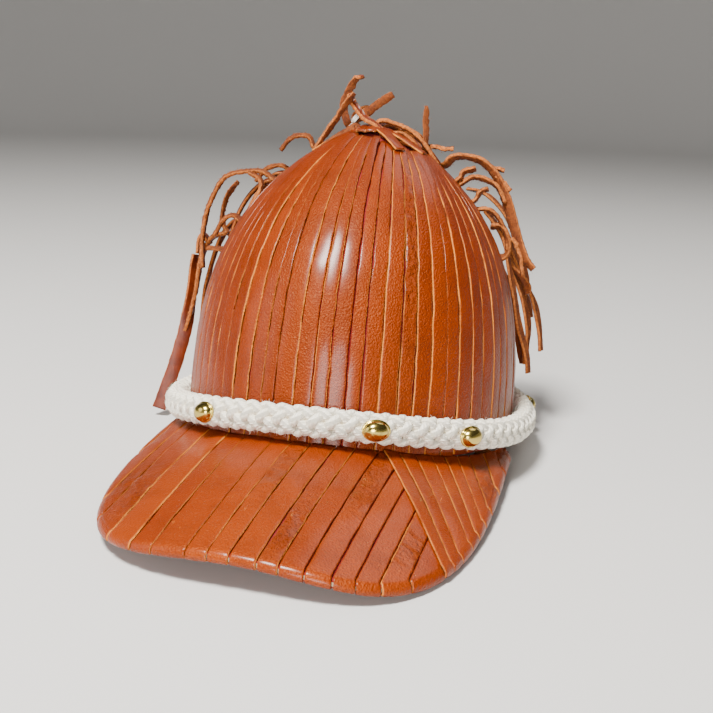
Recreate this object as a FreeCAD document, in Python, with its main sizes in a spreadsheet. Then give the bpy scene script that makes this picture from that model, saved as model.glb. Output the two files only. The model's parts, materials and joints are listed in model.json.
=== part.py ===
# Peaked cap covered with strips of glossy leather: a long sloping brim, a braided rope band held by
# oval brass studs, a fringe of free strip ends round the sides and back, and a snap strap at the back.
# Everything is drawn in the cap's own frame: the crown's lower edge lies in Z = 0, the brim points
# to -Y and +X is the wearer's left. At the end the whole cap is pitched onto the surface it rests on.
import FreeCAD, Part
import math
import os

from FreeCAD import Vector

doc = FreeCAD.newDocument("strip_leather_cap")

# ---------------------------------------------------------------- driving dimensions, in millimetres
SIZES = [
    ("crown_half_width", 90.0, "outer face of the leather, at the lower edge"),
    ("crown_half_length", 101.6, "the same, nose to back"),
    ("crown_height", 164.4, "outer face of the leather, at the apex"),
    ("crown_lean", 0.0865, "how far the crown leans back for each mm of height"),
    ("dome_flank", 3.1, "power of the height in the dome's profile"),
    ("dome_tip", 1.37, "power of the radius in the dome's profile"),
    ("leather_thick", 1.3, "crown strips and fringe"),
    ("layer_gap", 0.1, "air between two layers"),
    ("front_panel_thick", 2.4, "foam-backed cloth"),
    ("rear_panel_thick", 1.0, "open mesh cloth"),
    ("panel_split_angle", 78.0, "front panel's half angle from the nose"),
    ("sweatband_thick", 1.2, ""),
    ("sweatband_tall", 32.0, ""),
    ("sweatband_inset", 5.5, "outer face, in from the leather's face"),
    ("opening_radius", 42.0, "arched opening at the back"),
    ("opening_height", 12.0, "centre of the arch above the lower edge"),
    ("binding_wide", 4.0, "tape round the arched opening"),
    ("strip_count", 36, "crown strips"),
    ("strip_from", -99.0, "angle of the first crown strip"),
    ("strip_to", 99.0, "angle of the last crown strip"),
    ("strip_gap_angle", 0.35, "bare line between two crown strips"),
    ("strip_bottom", 8.0, "crown strips start under the rope"),
    ("strip_top", 160.0, "crown strips stop under the button"),
    ("button_radius", 7.0, ""),
    ("button_tall", 3.4, ""),
    ("brim_half_width", 93.5, ""),
    ("brim_reach", 218.5, "front edge, forward of the outline's widest line"),
    ("brim_wide_line", 16.0, "Y of the outline's widest line"),
    ("brim_side_power", 3.3, ""),
    ("brim_front_power", 4.6, ""),
    ("brim_skew", 0.06, "the handmade front edge reaches further on one side"),
    ("brim_end_line", -20.0, "Y at which the brim's ends meet the crown"),
    ("brim_root_height", 6.9, "upper face at the nose"),
    ("brim_slope", 0.2066, ""),
    ("brim_slope_curve", 0.0006, "the slope grows towards the front edge"),
    ("brim_arch", 0.00255, "fall to the sides"),
    ("brim_roll", 0.017, "the handmade brim hangs a little lower on one side"),
    ("brim_leather", 1.2, ""),
    ("brim_cloth", 0.4, ""),
    ("brim_board", 1.8, "stiffener"),
    ("brim_return", 18.0, "how far the strips turn back under the brim"),
    ("brim_strip_pitch", 11.6, ""),
    ("brim_strip_gap", 0.4, ""),
    ("brim_strip_slant", 3.6, "degrees, left group"),
    ("seam_x", 38.7, "point on the slanting line where the two groups of brim strips meet"),
    ("seam_y", -96.6, ""),
    ("seam_slant", 29.0, "degrees"),
    ("rope_half_thick", 6.8, ""),
    ("rope_half_tall", 8.0, ""),
    ("rope_height", 14.8, ""),
    ("rope_dip", 2.2, "the rope is lower at the nose than at the back"),
    ("rope_wave", 5.8, "the rope rises over the brim's arch and falls at the sides"),
    ("rope_end_angle", 150.0, "the rope ends beside the arched opening"),
    ("rope_clear", 0.25, "air between rope and leather"),
    ("stud_half_long", 7.0, ""),
    ("stud_half_short", 5.4, ""),
    ("stud_rise", 4.6, ""),
    ("stud_sink", 1.2, "how far a stud beds into the rope"),
    ("strap_tall", 20.0, "snap strap"),
    ("strap_base", 3.0, "lower edge of the snap strap"),
    ("strap_thick", 1.2, ""),
    ("strap_outer_inset", 2.6, "outer half, in from the leather's face"),
    ("strap_inner_inset", 4.1, "inner half"),
    ("strap_hinge_angle", 25.0, "each half bends here, from the middle of the back"),
    ("strap_overlap_angle", 14.0, "each half passes the middle by this angle"),
    ("snap_pitch_angle", 6.0, ""),
    ("snap_radius", 1.7, "pegs"),
    ("snap_clear", 0.7, "air round a peg in its hole"),
    ("tail_thick", 1.3, "fringe tails"),
    ("rest_pitch", 6.9, "degrees: the cap rests on the brim's corners and the crown's back edge"),
]

sheet = doc.addObject("Spreadsheet::Sheet", "Sizes")
for row, (alias, value, note) in enumerate(SIZES, start=1):
    sheet.set("A%d" % row, alias)
    sheet.set("B%d" % row, str(value))
    sheet.set("C%d" % row, note)
    sheet.setAlias("B%d" % row, alias)
doc.recompute()


def size(alias):
    return float(sheet.get(alias))


HALF_WIDTH = size("crown_half_width")
HALF_LENGTH = size("crown_half_length")
LEAN = size("crown_lean")
LEATHER = size("leather_thick")
GAP = size("layer_gap")
BACK = 180.0

pieces = []          # the sub-parts, in the order they are drawn
helpers = []         # blanks and cutters, which are not sub-parts


def keep(obj, label):
    """Names a sub-part."""
    obj.Label = label
    pieces.append(obj)
    return obj


def shaped(label, shape):
    """A sub-part whose shape follows a formula that no feature has."""
    obj = doc.addObject("Part::Feature", label)
    obj.Shape = shape
    return keep(obj, label)


def helper(kind, name, **values):
    """A blank or cutter: values that name the sheet are expressions on it."""
    obj = doc.addObject(kind, name)
    for prop, value in values.items():
        if isinstance(value, str) and "Sizes." in value:
            obj.setExpression(prop, value)
        else:
            setattr(obj, prop, value)
    helpers.append(obj)
    return obj


def helper_shape(name, shape):
    return helper("Part::Feature", name, Shape=shape)


def boolean(kind, label, base, tool, is_piece=True):
    obj = doc.addObject(kind, label)
    obj.Base = base
    obj.Tool = tool
    if is_piece:
        return keep(obj, label)
    helpers.append(obj)
    return obj


# ---------------------------------------------------------------- the crown's dome
# The dome is turned about Z with a radius of 1, then stretched to the oval of the head and leant
# back. Angles count from the nose, positive towards the wearer's left. An inset is how far a face
# lies inside the leather's outer face.
def dome_radius(height, inset):
    top = size("crown_height") - inset
    rise = min(height / top, 1.0)
    return (1 - inset / HALF_WIDTH) * (1 - rise ** size("dome_flank")) ** (1 / size("dome_tip"))


def dome_curve(inset, low, high):
    """The dome's profile between two heights, closer spaced towards the top."""
    top = size("crown_height") - inset
    high = min(high, top)
    knots = 20
    heights = [low + (high - low) * math.sin(math.pi / 2 * i / knots) for i in range(knots + 1)]
    points = [Vector(0, -dome_radius(h, inset), h) for h in heights]
    curve = Part.BSplineCurve()
    curve.interpolate(points)
    return curve.toShape(), points[0], points[-1]


def stretch(shape):
    matrix = FreeCAD.Matrix(HALF_WIDTH, 0, 0, 0,
                            0, HALF_LENGTH, LEAN, 0,
                            0, 0, 1, 0,
                            0, 0, 0, 1)
    return shape.transformGeometry(matrix)


def dome_sector(outer, inner, start, end, low, high):
    """Solid between two insets, two angles and two heights."""
    outside, outside_low, outside_high = dome_curve(outer, low, high)
    inside, inside_low, inside_high = dome_curve(inner, low, high)
    edges = [outside, Part.makeLine(outside_high, inside_high), inside, Part.makeLine(inside_low, outside_low)]
    face = Part.Face(Part.Wire(Part.__sortEdges__(edges)))
    face.rotate(Vector(0, 0, 0), Vector(0, 0, 1), start)
    return stretch(face.revolve(Vector(0, 0, 0), Vector(0, 0, 1), end - start))


def dome_point(angle, height, stand_off=0.0):
    """Point on the leather's face, or off it, at an angle and a height."""
    turn = math.radians(angle)
    radius = dome_radius(height, -stand_off)
    return Vector(HALF_WIDTH * radius * math.sin(turn),
                  -HALF_LENGTH * radius * math.cos(turn) + LEAN * height, height)


# ---------------------------------------------------------------- cloth crown
front_inset = LEATHER + GAP
split = size("panel_split_angle")
split_gap = 0.15
full_height = size("crown_height")
shaped("front_panel", dome_sector(front_inset, front_inset + size("front_panel_thick"),
                                  -split, split, 0, full_height))

arch_y = 60.0
helper("Part::Cylinder", "arch_round", Radius="Sizes.opening_radius", Height=80.0)
helpers[-1].Placement = FreeCAD.Placement(Vector(0, arch_y, size("opening_height")),
                                          FreeCAD.Rotation(Vector(1, 0, 0), -90))
helper("Part::Box", "arch_foot", Length="2 * Sizes.opening_radius", Width=80.0, Height="Sizes.opening_height + 5")
helpers[-1].Placement = FreeCAD.Placement(Vector(-size("opening_radius"), arch_y, -5), FreeCAD.Rotation())
arch = boolean("Part::Fuse", "arch_cutter", helpers[-2], helpers[-1], is_piece=False)

for side, start, end in (("left", split + split_gap, BACK - split_gap),
                         ("right", BACK + split_gap, 2 * BACK - split - split_gap)):
    blank = helper_shape("rear_blank_" + side, dome_sector(
        front_inset, front_inset + size("rear_panel_thick"), start, end, 0, full_height))
    boolean("Part::Cut", "rear_panel_" + side, blank, arch)

band_blank = helper_shape("sweatband_blank", dome_sector(
    size("sweatband_inset"), size("sweatband_inset") + size("sweatband_thick"),
    -BACK + 29, BACK - 29, 1, size("sweatband_tall")))
helper("Part::Box", "sweatband_room", Length=300.0, Width=300.0, Height="Sizes.sweatband_tall + 4")
helpers[-1].Placement = FreeCAD.Placement(Vector(-150, -150, -2), FreeCAD.Rotation())
boolean("Part::Common", "sweatband", band_blank, helpers[-1])

helper("Part::Cylinder", "binding_round", Radius="Sizes.opening_radius + Sizes.binding_wide", Height=80.0)
helpers[-1].Placement = FreeCAD.Placement(Vector(0, arch_y, size("opening_height")),
                                          FreeCAD.Rotation(Vector(1, 0, 0), -90))
binding_blank = helper_shape("binding_blank", dome_sector(0.5, front_inset - GAP, BACK - 35, BACK + 35, 6, 70))
binding_disc = boolean("Part::Common", "binding_disc", binding_blank, helpers[-2], is_piece=False)
boolean("Part::Cut", "opening_binding", binding_disc, arch)

# ---------------------------------------------------------------- leather strips on the crown
count = int(size("strip_count"))
pitch = (size("strip_to") - size("strip_from")) / count
thirds = {"right": range(0, 12), "centre": range(12, 24), "left": range(24, count)}
for side, numbers in thirds.items():
    strips = []
    for i in numbers:
        start = size("strip_from") + i * pitch + size("strip_gap_angle") / 2
        end = start + pitch - size("strip_gap_angle")
        strips.append(dome_sector(0, LEATHER, start, end, size("strip_bottom"), size("strip_top")))
    shaped("crown_strips_" + side, Part.makeCompound(strips))

helper("Part::Cylinder", "button_blank", Radius="Sizes.button_radius", Height="Sizes.button_tall")
helpers[-1].Placement = FreeCAD.Placement(Vector(0, LEAN * full_height, full_height - 1), FreeCAD.Rotation())
button = keep(doc.addObject("Part::Fillet", "crown_button"), "crown_button")
button.Base = helpers[-1]
button.Edges = [(3, 1.6, 1.6)]      # the upper rim

# ---------------------------------------------------------------- brim
# The brim's upper face is a quadratic sheet, so one square patch of Bezier poles holds it exactly.
def brim_height(x, y):
    out = y + HALF_LENGTH
    return (size("brim_root_height") + size("brim_slope") * out - size("brim_slope_curve") * out * out
            - size("brim_arch") * x * x - size("brim_roll") * x)


def brim_patch():
    x_low, x_high, y_low, y_high = -120.0, 120.0, -230.0, 40.0

    def blossom(low, high):
        return [(low, low * low), ((low + high) / 2, low * high), (high, high * high)]

    surface = Part.BezierSurface()
    surface.increase(2, 2)
    for i, (x, xx) in enumerate(blossom(x_low, x_high)):
        for j, (y, yy) in enumerate(blossom(y_low, y_high)):
            out = y + HALF_LENGTH
            out_square = yy + 2 * HALF_LENGTH * y + HALF_LENGTH ** 2
            z = (size("brim_root_height") + size("brim_slope") * out - size("brim_slope_curve") * out_square
                 - size("brim_arch") * xx - size("brim_roll") * x)
            surface.setPole(i + 1, j + 1, Vector(x, y, z))
    return surface.toShape()


def outline_point(turn, inset):
    """The brim's plan outline is a squared-off oval about its widest line."""
    c, s = math.cos(turn), math.sin(turn)
    x = math.copysign((size("brim_half_width") - inset) * abs(c) ** (2 / size("brim_side_power")), c)
    reach = size("brim_reach") - inset + size("brim_skew") * x
    return Vector(x, size("brim_wide_line") - reach * abs(s) ** (2 / size("brim_front_power")), -100)


def plan_prism(name, inset):
    """Upright prism over the brim's plan, less the crown."""
    steps = 24
    points = [outline_point(math.pi * i / steps, inset) for i in range(steps + 1)]
    curve = Part.BSplineCurve()
    curve.interpolate(points)
    face = Part.Face(Part.Wire([curve.toShape(), Part.makeLine(points[-1], points[0])]))
    plan = helper("Part::Extrusion", name, Base=helper_shape(name + "_face", face), Dir=Vector(0, 0, 1),
                  LengthFwd=200.0, Solid=True, DirMode="Custom")
    return plan


oval_edge = Part.Ellipse(Vector(0, 0, -100), HALF_LENGTH + 0.15, HALF_WIDTH + 0.15).toShape()
oval_edge.rotate(Vector(0, 0, 0), Vector(0, 0, 1), 90)
helper("Part::Extrusion", "crown_core", Base=helper_shape("crown_oval", Part.Face(Part.Wire(oval_edge))),
       Dir=Vector(0, 0, 1), LengthFwd=200.0, Solid=True, DirMode="Custom")
crown_core = helpers[-1]
helper("Part::Box", "behind_brim", Length=260.0, Width=120.0, Height=200.0)
helpers[-1].Placement = FreeCAD.Placement(Vector(-130, size("brim_end_line"), -100), FreeCAD.Rotation())
behind_brim = boolean("Part::Fuse", "brim_clearance", crown_core, helpers[-1], is_piece=False)

leather = size("brim_leather")
cloth = size("brim_cloth")
board = size("brim_board")
depth_top_cloth = leather + GAP
depth_board = depth_top_cloth + cloth + GAP
depth_under_cloth = depth_board + board + GAP
depth_under_leather = depth_under_cloth + cloth + GAP
depth_all = depth_under_leather + leather


def slab(name, top, bottom):
    """Sheet parallel to the brim's upper face, between two depths below it."""
    patch = helper_shape(name + "_patch", brim_patch())
    patch.Placement = FreeCAD.Placement(Vector(0, 0, -bottom), FreeCAD.Rotation())
    return helper("Part::Extrusion", name, Base=patch, Dir=Vector(0, 0, 1), LengthFwd=bottom - top,
                  Solid=True, DirMode="Custom")


core_plan = plan_prism("brim_core_plan", leather + GAP)
for label, top, thick in (("brim_top_cloth", depth_top_cloth, cloth), ("brim_board", depth_board, board),
                          ("brim_under_cloth", depth_under_cloth, cloth)):
    sheet_part = boolean("Part::Common", label + "_blank", slab(label + "_slab", top, top + thick), core_plan,
                         is_piece=False)
    boolean("Part::Cut", label, sheet_part, behind_brim)

# The leather is one folded skin, which is then cut into strips.
skin_blank = boolean("Part::Common", "brim_skin_blank", slab("brim_skin_slab", 0, depth_all),
                     plan_prism("brim_skin_plan", 0), is_piece=False)
hollow = boolean("Part::Common", "brim_skin_hollow",
                 slab("brim_hollow_slab", leather, depth_under_leather), plan_prism("brim_hollow_plan", leather),
                 is_piece=False)
window = boolean("Part::Common", "brim_skin_window",
                 slab("brim_window_slab", depth_under_leather - 0.5, depth_all + 1),
                 plan_prism("brim_window_plan", size("brim_return")), is_piece=False)
skin_open = boolean("Part::Cut", "brim_skin_open", skin_blank, hollow, is_piece=False)
skin_back = boolean("Part::Cut", "brim_skin_back", skin_open, window, is_piece=False)
brim_skin = boolean("Part::Cut", "brim_skin", skin_back, behind_brim, is_piece=False)


def gap_wall(x, y, slant, thick):
    """Upright wall through a point, running forward and slanting to +X by an angle."""
    wall = Part.makeBox(thick, 500, 200, Vector(-thick / 2, -250, -100))
    wall.rotate(Vector(0, 0, 0), Vector(0, 0, 1), slant)
    wall.translate(Vector(x, y, 0))
    return wall


def half_space(x, y, slant, side):
    """Everything on one side of such a wall: side is -1 towards -X, +1 towards +X."""
    half = size("brim_strip_gap") / 2
    block = Part.makeBox(400, 600, 200, Vector(half if side > 0 else -400 - half, -300, -100))
    block.rotate(Vector(0, 0, 0), Vector(0, 0, 1), slant)
    block.translate(Vector(x, y, 0))
    return block


seam = (size("seam_x"), size("seam_y"), size("seam_slant"))
strip_pitch = size("brim_strip_pitch")
strip_gap = size("brim_strip_gap")
seam_turn = math.radians(size("seam_slant"))
left_walls = [gap_wall(x, -150, -size("brim_strip_slant"), strip_gap)
              for x in [-92.6 + strip_pitch * i for i in range(15)]]
right_walls = [gap_wall(seam[0] + strip_pitch * i * math.cos(seam_turn),
                        seam[1] + strip_pitch * i * math.sin(seam_turn), size("seam_slant"), strip_gap)
               for i in range(1, 6)]
for label, side, walls in (("brim_strips_right", -1, left_walls), ("brim_strips_left", 1, right_walls)):
    part = boolean("Part::Common", label + "_blank", brim_skin, helper_shape(label + "_side", half_space(*seam, side)),
                   is_piece=False)
    boolean("Part::Cut", label, part, helper_shape(label + "_gaps", Part.makeCompound(walls)))

# ---------------------------------------------------------------- rope band and studs
def rope_centre(angle):
    turn = math.radians(angle)
    height = (size("rope_height") - size("rope_dip") * math.cos(turn)
              + size("rope_wave") * math.cos(2 * turn))
    out = size("rope_half_thick") + size("rope_clear")
    return Vector((HALF_WIDTH + out) * math.sin(turn),
                  -(HALF_LENGTH + out) * math.cos(turn) + LEAN * height, height)


def outward(angle):
    turn = math.radians(angle)
    return Vector(math.sin(turn) / HALF_WIDTH, -math.cos(turn) / HALF_LENGTH, 0).normalize()


def rope_section(angle, thick, tall):
    centre, out = rope_centre(angle), outward(angle)
    along = Vector(0, 0, 1).cross(out)
    oval_curve = Part.Ellipse(Vector(0, 0, 0), tall, thick)
    edge = oval_curve.toShape()
    placement = FreeCAD.Placement(centre, FreeCAD.Rotation(Vector(0, 0, 1), out, along, "ZXY"))
    edge.Placement = placement
    return Part.Wire(edge)


def rope_tube(start, end, step, thick, tall):
    count = max(2, round(abs(end - start) / step))
    sections = [rope_section(start + (end - start) * i / count, thick, tall) for i in range(count + 1)]
    return Part.makeLoft(sections, True, False)


rope_end = size("rope_end_angle")
whip_angle = 6.0
shaped("rope_band", rope_tube(-rope_end + whip_angle + 0.1, rope_end - whip_angle - 0.1, 9.0,
                              size("rope_half_thick"), size("rope_half_tall")))
for side, sign in (("left", 1), ("right", -1)):
    shaped("rope_whipping_" + side, rope_tube(sign * (rope_end - whip_angle), sign * rope_end, 3.0,
                                              size("rope_half_thick") - 0.6, size("rope_half_tall") - 0.6))

# angle round the crown and tilt of the oval, for each stud
STUDS = ((-128, 0), (-86, 0), (-31, 15), (20, 0), (48, 0), (112, 0), (136, 0))


def stud(angle, tilt):
    dome = Part.makeSphere(1, Vector(0, 0, 0), Vector(0, 0, 1), 0, 90, 360)
    shape = FreeCAD.Matrix()
    shape.scale(size("stud_half_long"), size("stud_half_short"), size("stud_rise"))
    dome = dome.transformGeometry(shape)
    out = outward(angle)
    foot = rope_centre(angle) + out * (size("rope_half_thick") - size("stud_sink"))
    across = Vector(0, 0, 1).cross(out)
    dome.rotate(Vector(0, 0, 0), Vector(0, 0, 1), tilt)
    dome.Placement = FreeCAD.Placement(foot, FreeCAD.Rotation(across, Vector(0, 0, 1), out, "ZXY")).multiply(
        dome.Placement)
    return dome


shaped("studs", Part.makeCompound([stud(*s) for s in STUDS]))

# ---------------------------------------------------------------- snap strap at the back
hinge = size("strap_hinge_angle")
over = size("strap_overlap_angle")
strap_low = size("strap_base")
strap_high = strap_low + size("strap_tall")
strap_thick = size("strap_thick")
outer_inset = size("strap_outer_inset")
inner_inset = size("strap_inner_inset")
tab_angle = 8.0
bend_gap = 0.4


def strap_band(inset, start, end):
    return dome_sector(inset, inset + strap_thick, start, end, strap_low, strap_high)


def snap_bar(angle, radius, inset, length):
    """Short round bar, radial to the crown, at the strap's mid height."""
    out = outward(angle)
    mid = (strap_low + strap_high) / 2
    start = dome_point(angle, mid, -inset)
    return Part.makeCylinder(radius, length, start, out)


shaped("strap_tab_left", strap_band(outer_inset, BACK - hinge - tab_angle, BACK - hinge - bend_gap))
shaped("strap_tab_right", strap_band(inner_inset, BACK + hinge + bend_gap, BACK + hinge + tab_angle))
snap_angles = [BACK + size("snap_pitch_angle") * k for k in (-1.5, -0.5, 0.5, 1.5)]
holes = [snap_bar(a, size("snap_radius") + size("snap_clear"), outer_inset + 4, 8) for a in snap_angles]
hole_blank = helper_shape("strap_outer_blank", strap_band(outer_inset, BACK - hinge, BACK + over))
boolean("Part::Cut", "strap_outer", hole_blank, helper_shape("strap_holes", Part.makeCompound(holes)))
shaped("strap_inner", strap_band(inner_inset, BACK - over, BACK + hinge))
pegs = [snap_bar(a, size("snap_radius"), inner_inset - 0.02, inner_inset - outer_inset) for a in snap_angles]
shaped("strap_pegs", Part.makeCompound(pegs))

# ---------------------------------------------------------------- fringe
def tail(points, across, width, start_share=1.0, thick=size("tail_thick")):
    """Flat leather tail along a smooth line; its width lies along a direction and may start narrower."""
    curve = Part.BSplineCurve()
    curve.interpolate([Vector(*p) for p in points])
    steps = 4 * (len(points) - 1)
    wires = []
    for i in range(steps + 1):
        share = i / steps
        wide = width * min(1.0, start_share + (1 - start_share) * share / 0.4)
        at = curve.FirstParameter + (curve.LastParameter - curve.FirstParameter) * share
        here, along = curve.value(at), curve.tangent(at)[0]
        side = Vector(*across) - along * along.dot(Vector(*across))
        side.normalize()
        face = along.cross(side)
        corners = [here + side * (s * wide / 2) + face * (f * thick / 2)
                   for s, f in ((-1, -1), (1, -1), (1, 1), (-1, 1))]
        wires.append(Part.makePolygon(corners + corners[:1]))
    return Part.makeLoft(wires, True, True)


TOP_TAILS = (
    (((-8, 15, 168), (-15, 14, 173), (-13, 12, 181), (-8, 8, 191)), (0, 1, 0.3), 4.0),
    (((-14, 23, 166), (-22, 22, 175), (-17, 21, 182), (-12, 20, 189)), (0, 1, 0), 3.4),
    (((0, 24, 168.5), (0, 22, 173), (4, 20, 178), (10, 15, 183)), (0, 1, 0.2), 8.0),
    (((8, 17, 167), (14, 18, 168.5), (22, 20, 166), (31, 24, 157)), (0, 1, 0), 4.0),
    (((30, 30, 156), (30, 30, 163), (29, 29, 171), (28, 28, 179)), (0, 1, 0), 4.0),
)
LEFT_TAILS = (
    (((43, 34, 148), (51, 34, 152), (61, 34, 148), (73, 34, 122), (80, 32, 106), (94, 30, 91)), (0, 1, 0), 6.0),
    (((46, 50, 142), (58, 50, 145), (70, 50, 134), (79, 50, 112), (86, 48, 92)), (0, 1, 0), 6.0),
    (((66, 20, 131), (78, 20, 134), (88, 20, 122), (93, 19, 106)), (0, 1, 0), 5.0),
    (((50, 66, 134), (64, 68, 134), (76, 70, 118), (84, 70, 92), (92, 68, 62)), (0, 1, 0), 7.0),
)
RIGHT_TAILS = (
    (((-58, 24, 137), (-74, 24, 141), (-86, 24, 137), (-95, 23, 122), (-99, 20, 102), (-101, 18, 86)), (0, 1, 0), 6.0),
    (((-74, 9, 112), (-81, 9, 115), (-88, 9, 108), (-92, 9, 97)), (0, 1, 0), 4.0),
    (((-82, -2, 92), (-86, -2, 97), (-92, -2, 96), (-96, -2, 89)), (0, 1, 0), 4.0),
    (((-54, 48, 142), (-70, 50, 140), (-82, 50, 124), (-90, 49, 100), (-96, 48, 74)), (0, 1, 0), 7.0),
    (((-50, 66, 136), (-64, 68, 134), (-77, 70, 116), (-86, 70, 92), (-92, 68, 62)), (0, 1, 0), 7.0),
)
for label, rows in (("fringe_top", TOP_TAILS), ("fringe_left", LEFT_TAILS), ("fringe_right", RIGHT_TAILS)):
    shaped(label, Part.makeCompound([tail(*row) for row in rows]))

# The back is hung with strips that leave the crown near its top and stand further off as they fall.
BACK_STRIPS = (("fringe_back_left", (118, 129, 140, 151)), ("fringe_back_centre", (163, 174, 185, 196)),
               ("fringe_back_right", (208, 219, 230, 241)))
for label, angles in BACK_STRIPS:
    strips = []
    for i, angle in enumerate(angles):
        low = 34 + 9 * (i % 3)
        drop = [(148, 1.6), (128, 2.6), (98, 5), (66, 9), (low, 14)]
        line = [tuple(dome_point(angle, h, off)) for h, off in drop]
        turn = math.radians(angle)
        strips.append(tail(line, (math.cos(turn), math.sin(turn), 0), 9.0, start_share=0.55))
    shaped(label, Part.makeCompound(strips))

# One long strip hangs free beside the rope and swings from a fold near its top.
shaped("long_strip_root", tail(((-100, 33, 93), (-104, 32, 99), (-107, 31, 96), (-107.5, 30, 87)), (0, 1, 0), 7.5))
shaped("long_strip", tail(((-107.5, 30, 86), (-108, 28, 58), (-110, 22, 26), (-115, 14, -5)), (0.15, 1, 0), 7.5))

helper("Part::Torus", "tie_ring", Radius1=4.0, Radius2=0.9)
tie = keep(helpers.pop(), "thread_tie")
tie.Placement = FreeCAD.Placement(Vector(-9.5, 15, 171), FreeCAD.Rotation(Vector(0, 1, 0), -50))

doc.recompute()

# ---------------------------------------------------------------- rest pose, checks and export
for obj in doc.Objects:
    if "Invalid" in obj.State or "Error" in obj.State:
        raise RuntimeError("%s failed: %s" % (obj.Name, obj.State))

pitch_turn = FreeCAD.Rotation(Vector(1, 0, 0), -size("rest_pitch"))
pitched = FreeCAD.Placement(Vector(0, 0, 0), pitch_turn)
for obj in pieces:
    if obj.Shape.isNull() or not obj.Shape.isValid() or obj.Shape.Volume <= 0:
        raise RuntimeError("%s has no valid solid" % obj.Label)


def placed(obj, placement):
    """The sub-part's shape, moved as one with the rest of the cap."""
    shape = obj.Shape.copy()
    shape.Placement = placement.multiply(shape.Placement)
    return shape


box = FreeCAD.BoundBox()
for obj in pieces:
    box.add(placed(obj, pitched).optimalBoundingBox(False))
shift = Vector(-(box.XMin + box.XMax) / 2, -(box.YMin + box.YMax) / 2, -box.ZMin)
rest = FreeCAD.Placement(shift, pitch_turn)


def main():
    os.makedirs("parts", exist_ok=True)
    for obj in pieces:
        placed(obj, rest).exportStep("parts/%s.step" % obj.Label)
    print("nodes %d, box %.1f x %.1f x %.1f, shift %s" % (
        len(pieces), box.XLength, box.YLength, box.ZLength, tuple(round(v, 3) for v in shift)))


main()
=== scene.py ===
import json
import math
import random

import bmesh
import bpy
import numpy as np
from bpy.props import FloatProperty, FloatVectorProperty, IntProperty, PointerProperty
from mathutils import Matrix, Vector, noise


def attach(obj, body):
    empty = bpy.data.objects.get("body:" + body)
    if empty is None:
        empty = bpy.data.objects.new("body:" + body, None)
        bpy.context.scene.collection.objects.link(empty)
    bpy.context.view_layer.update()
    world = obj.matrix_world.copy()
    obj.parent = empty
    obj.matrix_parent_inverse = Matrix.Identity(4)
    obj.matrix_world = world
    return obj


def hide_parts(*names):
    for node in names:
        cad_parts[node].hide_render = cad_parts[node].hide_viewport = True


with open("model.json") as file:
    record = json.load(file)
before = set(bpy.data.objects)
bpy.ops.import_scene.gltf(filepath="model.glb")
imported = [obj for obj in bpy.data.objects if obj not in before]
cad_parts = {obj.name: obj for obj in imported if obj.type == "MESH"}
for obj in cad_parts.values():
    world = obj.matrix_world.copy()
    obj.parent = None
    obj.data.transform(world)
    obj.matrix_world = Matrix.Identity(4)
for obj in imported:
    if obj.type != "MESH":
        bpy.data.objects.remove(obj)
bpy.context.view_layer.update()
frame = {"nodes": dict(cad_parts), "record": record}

bl_info = {
    "name": "Strip leather cap",
    "version": (1, 0, 0),
    "blender": (4, 5, 0),
    "location": "View3D > Sidebar > Strip leather cap",
    "description": "Leather strips, braided rope band, studs and fringe round a packed cap",
    "category": "Add Mesh",
}

MM = 0.001

# ------------------------------------------------------------------ the cap's own frame
# The cap is drawn upright, in millimetres: its lower edge in z = 0, the brim towards -y and the
# wearer's left towards +x. PLACE pitches it onto the surface it rests on, and turns it into metres.
OPENING = next(m for m in frame["record"]["mounts"] if m["name"] == "head_opening")
UPWARD = -Vector(OPENING["axis"])
PITCH = math.atan2(UPWARD.y, UPWARD.z)
PLACE = Matrix.Translation(OPENING["pos_m"]) @ Matrix.Rotation(-PITCH, 4, "X") @ Matrix.Scale(MM, 4)
PLACE_ARRAY = np.array(PLACE)

HALF_WIDTH = 90.0
HALF_LENGTH = 101.6
HEIGHT = 164.4
LEAN = 0.0865
DOME_FLANK = 3.1
DOME_TIP = 1.37


def placed(points):
    """Cap-frame millimetres to world metres."""
    points = np.asarray(points, dtype=float)
    return points @ PLACE_ARRAY[:3, :3].T + PLACE_ARRAY[:3, 3]


def unit(vectors):
    return vectors / np.maximum(np.linalg.norm(vectors, axis=-1, keepdims=True), 1e-9)


# ------------------------------------------------------------------ dome, brim and rope as formulas
def dome_radius(height):
    rise = np.clip(height / HEIGHT, 0, 1)
    return (1 - rise ** DOME_FLANK) ** (1 / DOME_TIP)


def dome_height(radius):
    return HEIGHT * (1 - np.clip(radius, 0, 1) ** DOME_TIP) ** (1 / DOME_FLANK)


def dome_point(angle, height, stand_off=0.0):
    turn = math.radians(angle)
    radius = dome_radius(height)
    return np.array([(HALF_WIDTH * radius + stand_off) * math.sin(turn),
                     -(HALF_LENGTH * radius + stand_off) * math.cos(turn) + LEAN * height, height])


def on_dome(points, stand_off):
    """Moves points onto the dome by three Newton steps, then out along its normal."""
    p = np.array(points, dtype=float)
    normal = None
    for step in range(4):
        x = p[..., 0] / HALF_WIDTH
        y = (p[..., 1] - LEAN * p[..., 2]) / HALF_LENGTH
        z = np.clip(p[..., 2] / HEIGHT, 1e-4, 1.2)
        r = np.maximum(np.hypot(x, y), 1e-3)
        value = r ** DOME_TIP + z ** DOME_FLANK - 1
        radial = DOME_TIP * r ** (DOME_TIP - 2)
        slope_y = radial * y / HALF_LENGTH
        slope = np.stack([radial * x / HALF_WIDTH, slope_y,
                          DOME_FLANK * z ** (DOME_FLANK - 1) / HEIGHT - slope_y * LEAN], -1)
        size = np.sum(slope * slope, -1)
        normal = unit(slope)
        if step < 3:
            p = p - slope * (value / size)[..., None]
    return p + normal * np.asarray(stand_off)[..., None], normal


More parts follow.
